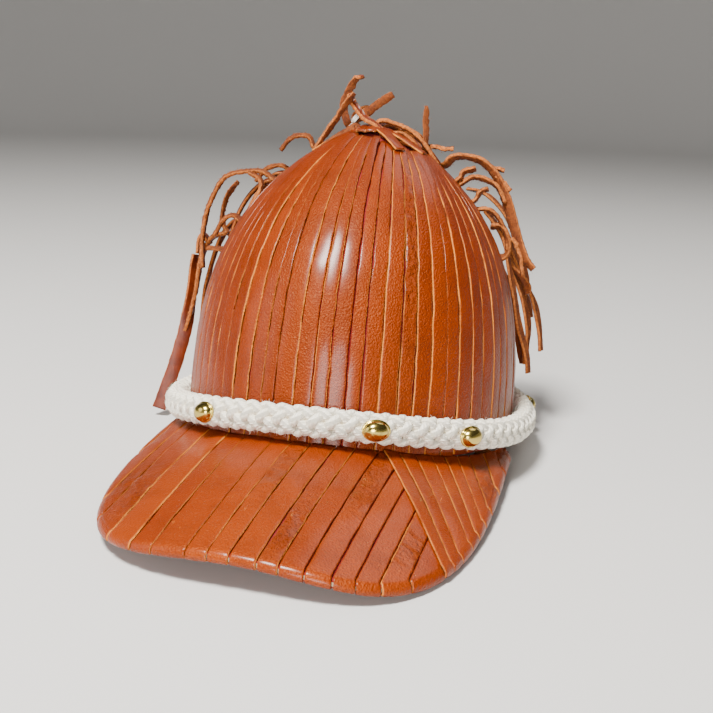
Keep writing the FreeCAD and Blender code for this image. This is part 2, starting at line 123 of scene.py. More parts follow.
BRIM_HALF_WIDTH = 93.5
BRIM_REACH = 218.5
BRIM_WIDE_LINE = 16.0
BRIM_SIDE_POWER = 3.3
BRIM_FRONT_POWER = 4.6
BRIM_SKEW = 0.06
BRIM_END_LINE = -20.0
BRIM_THICK = 5.4


def brim_height(x, y):
    out = y + HALF_LENGTH
    return 6.9 + 0.2066 * out - 0.0006 * out * out - 0.00255 * x * x - 0.017 * x


def outside_brim(x, y):
    """Above zero outside the brim's plan outline."""
    reach = BRIM_REACH + BRIM_SKEW * x
    return (np.abs(x / BRIM_HALF_WIDTH) ** BRIM_SIDE_POWER
            + np.abs((BRIM_WIDE_LINE - y) / reach) ** BRIM_FRONT_POWER - 1)


def outside_crown(x, y):
    return (x / (HALF_WIDTH + 0.4)) ** 2 + (y / (HALF_LENGTH + 0.4)) ** 2 - 1


ROPE_THICK = 6.8
ROPE_TALL = 8.0


def rope_centre(angle):
    turn = math.radians(angle)
    height = 14.8 - 2.2 * math.cos(turn) + 5.8 * math.cos(2 * turn)
    out = ROPE_THICK + 0.25
    return np.array([(HALF_WIDTH + out) * math.sin(turn),
                     -(HALF_LENGTH + out) * math.cos(turn) + LEAN * height, height])


def outward(angle):
    turn = math.radians(angle)
    return unit(np.array([math.sin(turn) / HALF_WIDTH, -math.cos(turn) / HALF_LENGTH, 0.0]))


# ------------------------------------------------------------------ node graphs
class Signal:
    """A socket that takes part in sums."""

    def __init__(self, graph, socket):
        self.graph, self.socket = graph, socket

    def maths(self, operation, *values):
        return self.graph.add("ShaderNodeMath", {"operation": operation}, dict(enumerate(values)))

    def __add__(self, other):
        return self.maths("ADD", self, other)

    __radd__ = __add__

    def __mul__(self, other):
        return self.maths("MULTIPLY", self, other)

    __rmul__ = __mul__

    def __sub__(self, other):
        return self.maths("SUBTRACT", self, other)

    def __rsub__(self, other):
        return self.maths("SUBTRACT", other, self)

    def __truediv__(self, other):
        return self.maths("DIVIDE", self, other)

    def __pow__(self, other):
        return self.maths("POWER", self, other)

    def sine(self):
        return self.maths("SINE", self)

    def cosine(self):
        return self.maths("COSINE", self)

    def band(self, low, high):
        """0 below low and 1 above high, smoothly."""
        return self.graph.add("ShaderNodeMapRange", {"interpolation_type": "SMOOTHSTEP"},
                              {"Value": self, "From Min": low, "From Max": high})


class Graph:
    """Adds nodes to one material's or one modifier's tree."""

    def __init__(self, tree):
        self.tree = tree

    def add(self, kind, settings=None, values=None, output=0):
        node = self.tree.nodes.new(kind)
        settings = dict(settings or {})
        stops = settings.pop("stops", None)
        for key, value in settings.items():
            setattr(node, key, value)
        if stops:
            ramp = node.color_ramp
            while len(ramp.elements) < len(stops):
                ramp.elements.new(0.5)
            for element, (place, colour) in zip(ramp.elements, stops):
                element.position, element.color = place, (*colour, 1)
        for key, value in (values or {}).items():
            if isinstance(value, Signal):
                self.tree.links.new(value.socket, node.inputs[key])
            else:
                node.inputs[key].default_value = value
        return Signal(self, node.outputs[output])

    def blend(self, factor, low, high):
        """Mixes two colours: low where the factor is 0."""
        colours = {6: low, 7: high}
        values = {0: factor}
        for key, colour in colours.items():
            values[key] = colour if isinstance(colour, Signal) else (*colour, 1)
        return self.add("ShaderNodeMix", {"data_type": "RGBA"}, values, 2)

    def attribute(self, name):
        return self.add("ShaderNodeAttribute", {"attribute_name": name}, {}, "Fac")

    def object_place(self, scale=(1, 1, 1)):
        place = self.add("ShaderNodeTexCoord", {}, {}, "Object")
        return self.add("ShaderNodeMapping", {}, {"Vector": place, "Scale": scale})

    def noise(self, place, scale, detail=3.0, roughness=0.5):
        return self.add("ShaderNodeTexNoise", {}, {"Vector": place, "Scale": scale, "Detail": detail,
                                                    "Roughness": roughness})

    def bump(self, height, distance, strength=1.0, under=None):
        values = {"Height": height, "Distance": distance, "Strength": strength}
        if under:
            values["Normal"] = under
        return self.add("ShaderNodeBump", {}, values)


def material(name, make, **fixed):
    """A material whose shader sockets come from make(graph) and from fixed values."""
    mat = bpy.data.materials.new(name)
    mat.use_nodes = True
    graph = Graph(mat.node_tree)
    shader = mat.node_tree.nodes["Principled BSDF"]
    for key, value in {**fixed, **make(graph)}.items():
        if isinstance(value, Signal):
            mat.node_tree.links.new(value.socket, shader.inputs[key])
        else:
            shader.inputs[key].default_value = value
    return mat


# ------------------------------------------------------------------ finishes
RAW_EDGE = (0.70, 0.235, 0.04)
SUEDE = (0.36, 0.13, 0.05)


def glossy_leather(name, deep, bright, gloss, scuff):
    """Cognac leather: pebbled grain, uneven dye, pale cut edges and a suede back."""

    def make(g):
        place = g.object_place()
        warp = g.noise(place, 90, 2)
        pebbles = g.add("ShaderNodeTexVoronoi", {"feature": "SMOOTH_F1"},
                        {"Vector": place, "Scale": 1050, "Smoothness": 0.5, "Randomness": 1.0}, "Distance")
        fine = g.noise(place, 1500, 2)
        swell = g.noise(place, 210, 3)
        wrinkle = g.attribute("wrinkle")
        creases = g.noise(g.object_place((1.0, 1.0, 0.45)), 420, 4, 0.6)
        grain = g.bump(pebbles * 0.7 + fine * 0.3, 0.0005 * scuff["grain"], 1.0)
        waves = g.bump(swell, 0.0006, 0.35, grain)
        folds = g.bump(creases * wrinkle, 0.0035, 1.0, waves)
        back = g.attribute("back").band(0.4, 0.6)
        tint = g.attribute("tint")
        rim = g.attribute("rim").band(0.3, 0.8) * g.noise(place, 55, 3).band(0.25, 0.5)
        dye = g.blend(warp * 0.55 + tint * 0.45, deep, bright)
        blotch = g.noise(place, 38, 4, 0.65).band(0.42, 0.75)
        dye = g.blend(blotch * 0.4, dye, [c * 0.62 for c in deep])
        scratches = g.noise(g.object_place((1, 0.08, 1)), 900, 2).band(0.70, 0.78)
        scrape = scratches * g.noise(place, 60, 2).band(0.5, 0.62)
        dye = g.blend(scrape * scuff["scrape"], dye, RAW_EDGE)
        nap = g.noise(place, 1100, 4, 0.7)
        raw = g.blend(nap, [c * 0.55 for c in RAW_EDGE], RAW_EDGE)
        colour = g.blend(rim, dye, raw)
        colour = g.blend(back, colour, g.blend(nap, [c * 0.45 for c in SUEDE], SUEDE))
        dull = g.add("ShaderNodeMath", {"operation": "MAXIMUM"}, {0: rim, 1: back})
        rough = gloss + swell * 0.12 + blotch * 0.06
        return {
            "Base Color": colour,
            "Roughness": rough + dull * (0.85 - gloss),
            "Coat Weight": (1 - dull) * 0.32,
            "Normal": folds,
        }

    return material(name, make, **{"Coat Roughness": 0.22, "Specular IOR Level": 0.35,
                                   "Specular Tint": (1.0, 0.50, 0.20, 1), "Coat Tint": (1.0, 0.9, 0.8, 1)})


def suede_leather(name):
    """Fringe leather: rough fibrous suede on the back, smooth dye on the face, pale edges."""

    def make(g):
        place = g.object_place()
        nap = g.noise(place, 700, 5, 0.75)
        fibres = g.noise(g.object_place((1, 1, 0.35)), 1500, 3, 0.7)
        back = g.attribute("back").band(0.4, 0.6)
        rim = g.attribute("rim").band(0.3, 0.8)
        patch = g.noise(place, 120, 3).band(0.35, 0.7)
        suede = g.blend(nap.band(0.3, 0.7), (0.035, 0.004, 0.0), (0.21, 0.042, 0.002))
        suede = g.blend(patch * 0.35, suede, (0.30, 0.075, 0.006))
        face = g.blend(patch, (0.075, 0.008, 0.0), (0.14, 0.018, 0.001))
        colour = g.blend(back, face, suede)
        cut_edge = g.blend(nap.band(0.3, 0.7), (0.18, 0.036, 0.003), (0.58, 0.18, 0.03))
        colour = g.blend(rim * 0.85, colour, cut_edge)
        rough = g.add("ShaderNodeMath", {"operation": "MAXIMUM"}, {0: rim, 1: back}) * 0.5 + 0.4
        soft = g.bump(nap * 0.6 + fibres * 0.4, 0.0009, 1.0)
        grain = g.bump(g.noise(place, 800, 2), 0.00015, 1.0)
        normal = g.add("ShaderNodeMix", {"data_type": "VECTOR"}, {0: back, 4: grain, 5: soft}, 1)
        return {"Base Color": colour, "Roughness": rough, "Normal": normal}

    return material(name, make, **{"Specular IOR Level": 0.4})


def cotton_rope(name):
    """Natural cotton: fine yarns that run along each strand of the braid, light random soiling, and painted
    shade where a strand dips under the next.
    """

    def make(g):
        along, around = g.attribute("along"), g.attribute("around")
        yarns = (around * (2 * math.pi * 5) + along * 60).sine() * 0.5 + 0.5
        place = g.object_place()
        fuzz = g.noise(place, 1800, 4, 0.7)
        soil = g.noise(place, 160, 3).band(0.4, 0.8)
        strand_rise = g.attribute("depth").band(0.0, 1.0)
        cream = g.blend(yarns * 0.5 + fuzz * 0.5, (0.78, 0.72, 0.56), (0.97, 0.94, 0.84))
        cream = g.blend(soil * 0.2, cream, (0.80, 0.70, 0.48))
        # Painted shade: a darker, browner cream where a strand dips under its neighbour (low depth).
        cream = g.blend((1 - strand_rise) * 0.45, cream, (0.60, 0.47, 0.27))
        ridges = g.bump(yarns * 0.6 + fuzz * 0.4, 0.0005, 1.0)
        return {"Base Color": cream, "Normal": ridges}

    return material(name, make, Roughness=0.92, **{"Sheen Weight": 0.3, "Sheen Roughness": 0.5,
                                                    "Specular IOR Level": 0.2})


def stud_brass(name):
    def make(g):
        place = g.object_place()
        tarnish = g.noise(place, 260, 4, 0.6).band(0.45, 0.8)
        colour = g.blend(tarnish, (0.62, 0.47, 0.12), (0.34, 0.29, 0.10))
        rim = g.attribute("rim")
        colour = g.blend(rim * 0.6, colour, (0.90, 0.68, 0.12))
        rough = tarnish * 0.12 + 0.19
        dents = g.bump(g.noise(place, 900, 2), 0.00003, 0.6)
        return {"Base Color": colour, "Roughness": rough, "Normal": dents}

    return material(name, make, Metallic=1.0)


def woven_cloth(name, low, high, pitch, depth=0.00025, roughness=0.85):
    """Plain weave in Object coordinates: warp and weft cross at the pitch."""

    def make(g):
        place = g.add("ShaderNodeSeparateXYZ", {}, {"Vector": g.object_place()})
        node = place.socket.node
        x, y, z = (Signal(g, node.outputs[i]) for i in range(3))
        turn = 2 * math.pi / pitch
        warp = ((x + y) * turn).sine()
        weft = ((z + (x - y) * 0.5) * turn).sine()
        weave = (warp * weft) * 0.5 + 0.5
        fuzz = g.noise(g.object_place(), 1400, 3, 0.6)
        worn = g.noise(g.object_place(), 45, 3).band(0.35, 0.75)
        colour = g.blend(weave * 0.6 + fuzz * 0.4, low, high)
        colour = g.blend(worn * 0.25, colour, [c * 0.6 for c in low])
        return {"Base Color": colour, "Normal": g.bump(weave * 0.8 + fuzz * 0.2, depth, 1.0)}

    return material(name, make, Roughness=roughness)


def open_mesh(name):
    """Knitted mesh with small see-through holes, in rows down the back of the cap."""

    def make(g):
        place = g.object_place()
        cells = g.add("ShaderNodeTexVoronoi", {"feature": "F1"},
                      {"Vector": place, "Scale": 430, "Randomness": 0.12}, "Distance")
        knit = g.noise(place, 1200, 3)
        hole = cells.band(0.30, 0.16)
        colour = g.blend(knit, (0.24, 0.002, 0.002), (0.45, 0.007, 0.006))
        loops = g.bump(cells * 0.7 + knit * 0.3, 0.0004, 1.0)
        return {"Base Color": colour, "Alpha": 1 - hole, "Normal": loops}

    return material(name, make, Roughness=0.8)


def strap_plastic(name):
    def make(g):
        place = g.object_place()
        skin = g.noise(place, 900, 2)
        wear = g.noise(place, 70, 3).band(0.5, 0.8)
        colour = g.blend(wear * 0.4, (0.33, 0.012, 0.012), (0.50, 0.04, 0.035))
        return {"Base Color": colour, "Roughness": skin * 0.15 + 0.38, "Normal": g.bump(skin, 0.00008, 0.8)}

    return material(name, make)


def pressed_board(name):
    def make(g):
        place = g.object_place()
        fibre = g.noise(place, 600, 4, 0.7)
        colour = g.blend(fibre, (0.30, 0.21, 0.12), (0.52, 0.40, 0.26))
        return {"Base Color": colour, "Normal": g.bump(fibre, 0.0002, 1.0)}

    return material(name, make, Roughness=0.9)


def thread(name, colour):
    def make(g):
        twist = g.noise(g.object_place(), 2200, 2)
        return {"Base Color": g.blend(twist, [c * 0.75 for c in colour], colour),
                "Normal": g.bump(twist, 0.0001, 1.0)}

    return material(name, make, Roughness=0.55)


# ------------------------------------------------------------------ meshes
ACROSS = np.array([-1.0, -0.91, -0.80, -0.45, 0.0, 0.45, 0.80, 0.91, 1.0])
LIFT = np.array([-0.42, -0.09, 0.0, 0.05, 0.07, 0.05, 0.0, -0.09, -0.42])
RIM = np.array([1.0, 0.55, 0.0, 0.0, 0.0, 0.0, 0.0, 0.55, 1.0])
UNDER = (8, 6, 4, 2, 0)


def ripple(place, scale, seed=0.0):
    return noise.noise(Vector((place[0] * scale + seed, place[1] * scale, place[2] * scale)))


def grains(points, seed):
    flat = points.reshape(-1, 3)
    heights = [ripple(p, 0.85, seed) + 0.6 * ripple(p, 2.1, seed) for p in flat]
    return np.array(heights).reshape(points.shape[:-1])


class Leather:
    """Gathers strips of leather, each a closed sheet with a rim, a face and a back, into one mesh."""

    def __init__(self):
        self.points, self.faces = [], []
        self.values = {"rim": [], "back": [], "tint": [], "wrinkle": []}
        self.count = 0

    def strip(self, grid, thick, normals, tint=0.5, wrinkle=0.0, suede_face=False, bevels=(1.0, 1.0),
              rough=0.0):
        rows = grid.shape[0]
        bevel = np.where(ACROSS < 0, bevels[0], bevels[1])
        lift = np.where(LIFT < 0, LIFT * bevel, LIFT)
        top = grid + normals * lift[None, :, None]
        low = grid[:, UNDER] - normals[:, UNDER] * thick
        if rough:
            top = top + normals * (rough * grains(top, 0.0))[..., None]
            low = low - normals[:, UNDER] * (rough * grains(low, 40.0))[..., None]
        ring = np.concatenate([top, low], axis=1)
        m = ring.shape[1]
        rim = np.concatenate([RIM * np.clip(bevel, 0, 1), [1, 0, 0, 0, 1]])
        back = np.concatenate([np.full(9, 1.0 if suede_face else 0.0),
                               np.full(5, 0.0 if suede_face else 1.0)])
        wrinkles = np.broadcast_to(np.asarray(wrinkle, dtype=float), (rows,))
        self.points.append(ring.reshape(-1, 3))
        for key, value in (("rim", np.tile(rim, rows)), ("back", np.tile(back, rows)),
                           ("tint", np.full(rows * m, tint)), ("wrinkle", np.repeat(wrinkles, m))):
            self.values[key].append(value)
        base = self.count
        for i in range(rows - 1):
            for j in range(m):
                k = (j + 1) % m
                self.faces.append((base + i * m + j, base + i * m + k,
                                   base + (i + 1) * m + k, base + (i + 1) * m + j))
        self.faces.append(tuple(base + j for j in range(m))[::-1])
        self.faces.append(tuple(base + (rows - 1) * m + j for j in range(m)))
        self.count += rows * m

    def build(self, name, finish):
        values = {key: np.concatenate(parts) for key, parts in self.values.items()}
        return solid(name, np.concatenate(self.points), self.faces, finish, values)


def solid(name, points, faces, finish, values=None, smooth=True):
    """A mesh object from cap-frame points, with its normals outward."""
    mesh = bpy.data.meshes.new(name)
    mesh.from_pydata(placed(points).tolist(), [], faces)
    for key, numbers in (values or {}).items():
        layer = mesh.attributes.new(key, "FLOAT", "POINT")
        layer.data.foreach_set("value", np.asarray(numbers, dtype=np.float32))
    work = bmesh.new()
    work.from_mesh(mesh)
    bmesh.ops.recalc_face_normals(work, faces=work.faces)
    work.to_mesh(mesh)
    work.free()
    mesh.shade_smooth() if smooth else mesh.shade_flat()
    mesh.materials.append(finish)
    piece = bpy.data.objects.new(name, mesh)
    bpy.context.collection.objects.link(piece)
    return piece


def fit_out(piece, slot, body="cap", nodes=()):
    """Attaches a piece to the body it rides on and hides the imported nodes it stands for. The slot argument
    is not used.
    """
    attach(piece, body)
    if nodes:
        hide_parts(*nodes)
    return piece


def smooth_line(points, count):
    """Catmull-Rom line through a few points."""
    p = np.array(points, dtype=float)
    p = np.vstack([2 * p[0] - p[1], p, 2 * p[-1] - p[-2]])
    out = []
    for t in np.linspace(0, len(p) - 3 - 1e-6, count):
        i, u = int(t), t - int(t)
        a, b, c, d = p[i:i + 4]
        out.append(0.5 * (2 * b + (c - a) * u + (2 * a - 5 * b + 4 * c - d) * u * u
                          + (3 * b - a - 3 * c + d) * u ** 3))
    return np.array(out)


# ------------------------------------------------------------------ settings
class CrownSettings(bpy.types.PropertyGroup):
    count: IntProperty(name="Strips", description="Leather strips round the front of the crown", default=36)
    reach: FloatProperty(name="Reach", description="Angle from the nose to the last strip", default=99.0)
    thick: FloatProperty(name="Thickness", description="Leather thickness in mm", default=1.3)
    gap: FloatProperty(name="Gap", description="Open line between two strips in mm", default=0.55)
    seed: IntProperty(name="Seed", description="Seed for the uneven cutting", default=11)


class BrimSettings(bpy.types.PropertyGroup):
    slant: FloatProperty(name="Slant", description="Sideways run of the strips per unit going back",
                         default=0.063)
    seam_slant: FloatProperty(name="Seam slant", description="Angle of the seam from straight ahead",
                              default=29.4)
    fan: FloatProperty(name="Fan", description="Angle lost by the strips from the seam to the far side",
                       default=13.4)
    turned_under: FloatProperty(name="Turned under", description="Length folded beneath the brim in mm",
                                default=18.0)
    thick: FloatProperty(name="Thickness", description="Leather thickness in mm", default=1.15)
    seed: IntProperty(name="Seed", description="Seed for the uneven cutting", default=5)


class RopeSettings(bpy.types.PropertyGroup):
    strands: IntProperty(name="Strands", description="Strands in the round braid", default=8)
    turns: FloatProperty(name="Turns", description="Turns of each strand round the rope", default=16.0)
    strand_radius: FloatProperty(name="Strand radius", description="Radius of one strand in mm", default=2.5)
    over: FloatProperty(name="Over", description="How far a strand rises over the next in mm", default=0.9)
    end: FloatProperty(name="End", description="Angle from the nose to each whipped end", default=147.0)


class FringeSettings(bpy.types.PropertyGroup):
    thick: FloatProperty(name="Thickness", description="Leather thickness in mm", default=1.7)
    seed: IntProperty(name="Seed", description="Seed for curls and frayed edges", default=3)


class FuzzSettings(bpy.types.PropertyGroup):
    length: FloatProperty(name="Length", description="Length of a loose fibre in mm", default=1.5)
    rope_density: FloatProperty(name="On rope", description="Fibres per square metre of rope",
                                default=60000.0)
    suede_density: FloatProperty(name="On suede", description="Fibres per square metre of suede",
                                 default=260000.0)
    seed: IntProperty(name="Seed", description="Seed for the fibres", default=8)


class StageSettings(bpy.types.PropertyGroup):
    lens: FloatProperty(name="Lens", description="Focal length on a 36 mm sensor",
                        default=57.7, unit="CAMERA")
    distance: FloatProperty(name="Distance", description="Camera distance in mm", default=625.7)
    azimuth: FloatProperty(name="Azimuth", description="Camera turn from straight ahead", default=12.62)
    elevation: FloatProperty(name="Elevation", description="Camera height angle over the cap's own plane",
                             default=6.78)
    roll: FloatProperty(name="Roll", description="Camera roll", default=3.39)
    shift: FloatVectorProperty(name="Shift", description="Lens shift that frames the cap", size=2,
                               default=(0.0118, -0.0279))


class CapSettings(bpy.types.PropertyGroup):
    crown: PointerProperty(type=CrownSettings, name="Crown", description="Leather strips on the crown")
    brim: PointerProperty(type=BrimSettings, name="Brim", description="Leather strips on the brim")
    rope: PointerProperty(type=RopeSettings, name="Rope", description="Braided rope band")
    fringe: PointerProperty(type=FringeSettings, name="Fringe", description="Loose leather ends")
    fuzz: PointerProperty(type=FuzzSettings, name="Fibres", description="Loose fibres on rope and suede")
    stage: PointerProperty(type=StageSettings, name="Stage", description="Camera, lights and floor")


FINISHES = {}


def finish_of(name):
    return FINISHES[name]


# ------------------------------------------------------------------ operators
class CAP_OT_finishes(bpy.types.Operator):
    """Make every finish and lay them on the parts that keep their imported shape"""
    bl_idname = "cap.finishes"
    bl_label = "Finishes"

    def execute(self, context):
        FINISHES.update({
            "crown_leather": glossy_leather("crown_leather", (0.120, 0.0110, 0.0), (0.215, 0.0260, 0.0), 0.38,
                                            {"grain": 1.4, "scrape": 0.15}),
            "brim_leather": glossy_leather("brim_leather", (0.160, 0.0160, 0.0), (0.260, 0.0360, 0.0), 0.40,
                                           {"grain": 1.3, "scrape": 0.8}),
            "fringe_leather": suede_leather("fringe_leather"),
            "cotton_rope": cotton_rope("cotton_rope"),
            "white_thread": thread("white_thread", (0.85, 0.83, 0.78)),
            "stud_brass": stud_brass("stud_brass"),
            "panel_cloth": woven_cloth("panel_cloth", (0.16, 0.001, 0.001), (0.30, 0.004, 0.003), 0.0011),
            "mesh_cloth": open_mesh("mesh_cloth"),
            "brim_cloth": woven_cloth("brim_cloth", (0.16, 0.001, 0.001), (0.30, 0.004, 0.003), 0.0012),
            "binding_tape": woven_cloth("binding_tape", (0.20, 0.002, 0.002), (0.34, 0.006, 0.005), 0.0009),
            "sweatband_cloth": woven_cloth("sweatband_cloth", (0.45, 0.40, 0.33), (0.68, 0.63, 0.54), 0.0010),
            "brim_stiffener": pressed_board("brim_stiffener"),
            "strap_plastic": strap_plastic("strap_plastic"),
        })
        for part in frame["record"]["subparts"]:
            materials = frame["nodes"][part["node"]].data.materials
            if not materials:
                materials.append(None)
            for k in range(len(materials)):
                materials[k] = FINISHES[part["material_slot"]]
        return {"FINISHED"}


# Where strips end near the top, by the angle at which they start: x, and y without the lean.
TOP_ENDS = ((-99, (-17, 24)), (-77, (-13, 10)), (-45, (-10, -6)), (-12, (-7, -15.5)),
            (-3, (-0.5, -17.2)), (6, (4.5, -19.5)),
            (13, (9.5, -21)), (19, (15.0, -21)), (26, (18.6, -18.7)), (33, (22.4, -17.6)), (42, (27, -14)),
            (77, (32, 2)), (99, (33, 16)))


def top_end(angle):
    angles = [row[0] for row in TOP_ENDS]
    return np.array([np.interp(angle, angles, [row[1][k] for row in TOP_ENDS]) for k in (0, 1)])


def crown_path(angle, low, rows, pull=0.0):
    """Runs straight in plan from the rope to the top end, sampled evenly in length."""
    turn = math.radians(angle)
    start = np.array([HALF_WIDTH * math.sin(turn), -HALF_LENGTH * math.cos(turn)])
    end = top_end(angle)
    size = np.array([HALF_WIDTH, HALF_LENGTH])
    a, b = start / size, (end - start) / size
    heights = np.linspace(low, float(dome_height(np.linalg.norm(end / size))) - pull, rows * 6)
    radius = dome_radius(heights)
    qa, qb = b @ b, 2 * a @ b
    qc = a @ a - radius ** 2
    share = (-qb - np.sqrt(np.maximum(qb * qb - 4 * qa * qc, 0))) / (2 * qa)
    plan = start + (end - start) * share[:, None]
    line = np.column_stack([plan[:, 0], plan[:, 1] + LEAN * heights, heights])
    run = np.concatenate([[0], np.cumsum(np.linalg.norm(np.diff(line, axis=0), axis=1))])
    even = np.linspace(0, run[-1], rows)
    return np.column_stack([np.interp(even, run, line[:, k]) for k in range(3)]), even


class CAP_OT_crown(bpy.types.Operator):
    """Lay the leather strips up the front of the crown"""
    bl_idname = "cap.crown"
    bl_label = "Crown strips"

    def execute(self, context):
        s = context.scene.cap.crown
        rng = random.Random(s.seed)
        pitch = 2 * s.reach / s.count
        rows = 64
        edges = []
        for i in range(s.count + 1):
            angle = -s.reach + i * pitch + (rng.uniform(-0.7, 0.7) if 0 < i < s.count else 0)
            edges.append(angle)
        names = ("crown_strips_right", "crown_strips_centre", "crown_strips_left")
        parts = [Leather() for name in names]
        for i in range(s.count):
            low, high = edges[i], edges[i + 1]
            middle = (low + high) / 2
            left, run = crown_path(low, 0.8, rows)
            right = crown_path(high, 0.8, rows)[0]
            centre = (left + right) / 2
            half = np.linalg.norm(right - left, axis=1) / 2
            least = 2.9 if abs(middle - 15) > 30 else 2.2
            bare = 2.2 if abs(middle - 13.8) < 2.75 else rng.uniform(0.6, 1.6)
            half_wide = np.maximum(half, least) - s.gap / 2 * bare
            along = unit(np.gradient(centre, axis=0))
            normal = on_dome(centre, np.zeros(rows))[1]
            across = unit(np.cross(along, normal))
            across *= np.sign(np.sum(across * (right - left), axis=1))[:, None]
            wander = np.array([ripple((0, 0, r), 0.035, i * 7.3) for r in run]) * 0.55
            ragged = np.array([[ripple((k * 3, 0, r), 0.16, i * 3.1) for r in run] for k in (0, 1)]) * 0.5
            crowd = np.clip((half_wide - half) / 2.0, 0, 1)
            toward = -1 if middle < 0 else 1
            lift = 0.12 + 0.35 * rng.random() + crowd * 1.5
            if abs(middle - 8.5) < 2.75:
                lift = lift + np.clip(run / run[-1] * 5 - 4, 0, 1) * 1.6
            tilt = crowd * 0.9 * toward + rng.uniform(-0.16, 0.16)
            wrinkle = np.full(rows, 0.0)
            if abs(middle - 30) < 2.6:
                wrinkle = np.clip(1.3 - np.abs(run / run[-1] - 0.62) * 2.6, 0, 1)
            grid, offs = [], []
            for j, share in enumerate(ACROSS):
                edge = ragged[0] if share < 0 else ragged[1]
                place = centre + across * (wander + share * (half_wide + edge * abs(share)))[:, None]
                crease = np.array([ripple(p, 0.23, i) for p in place]) * wrinkle * 1.5
                swell = np.array([ripple(p, 0.07, i * 2.0) for p in place]) * 0.3
                grid.append(place)
                offs.append(lift + share * tilt + crease + swell)
            grid = np.stack(grid, axis=1)
            offs = np.stack(offs, axis=1)
            surface, normals = on_dome(grid, offs)
            part = parts[i * 3 // s.count]
            part.strip(surface, s.thick, normals, rng.random(), wrinkle,
                       bevels=(rng.uniform(0.25, 1.2), rng.uniform(0.25, 1.2)))
        for name, part in zip(names, parts):
            fit_out(part.build("leather_" + name, finish_of("crown_leather")), "crown_leather", nodes=(name,))
        return {"FINISHED"}


def clip_line(origin, direction, length, tests, step=1.0):
    """First stretch of a plan line where every test is below zero, to a hundredth of a step."""
    ts = np.arange(0, length, step)
    line = origin[None] + ts[:, None] * direction[None]
    value = np.max([test(line[:, 0], line[:, 1]) for test in tests], axis=0)
    inside = np.where(value < 0)[0]
    if len(inside) < 4:
        return None
    first = inside[0]
    after = np.where(value[first:] >= 0)[0]
    last = first + (after[0] if len(after) else len(value) - first) - 1

    def cross(i, j):
        if i < 0 or j >= len(ts):
            return ts[min(max(i, 0), len(ts) - 1)]
        return ts[i] + (ts[j] - ts[i]) * value[i] / (value[i] - value[j])

    return cross(first - 1, first), cross(last, last + 1)


def brim_inset(distance):
    """A test below zero where the brim's outline is further away than the distance."""

    def test(x, y):
        value = outside_brim(x, y)
        step = 0.5
        slope = np.hypot(outside_brim(x + step, y) - outside_brim(x - step, y),
                         outside_brim(x, y + step) - outside_brim(x, y - step)) / (2 * step)
        return value / np.maximum(slope, 1e-5) + distance

    return test


def brim_normal(x, y):
    step = 0.1
    slope_x = (brim_height(x + step, y) - brim_height(x - step, y)) / (2 * step)
    slope_y = (brim_height(x, y + step) - brim_height(x, y - step)) / (2 * step)
    return unit(np.stack([-slope_x, -slope_y, np.ones_like(slope_x)], -1))


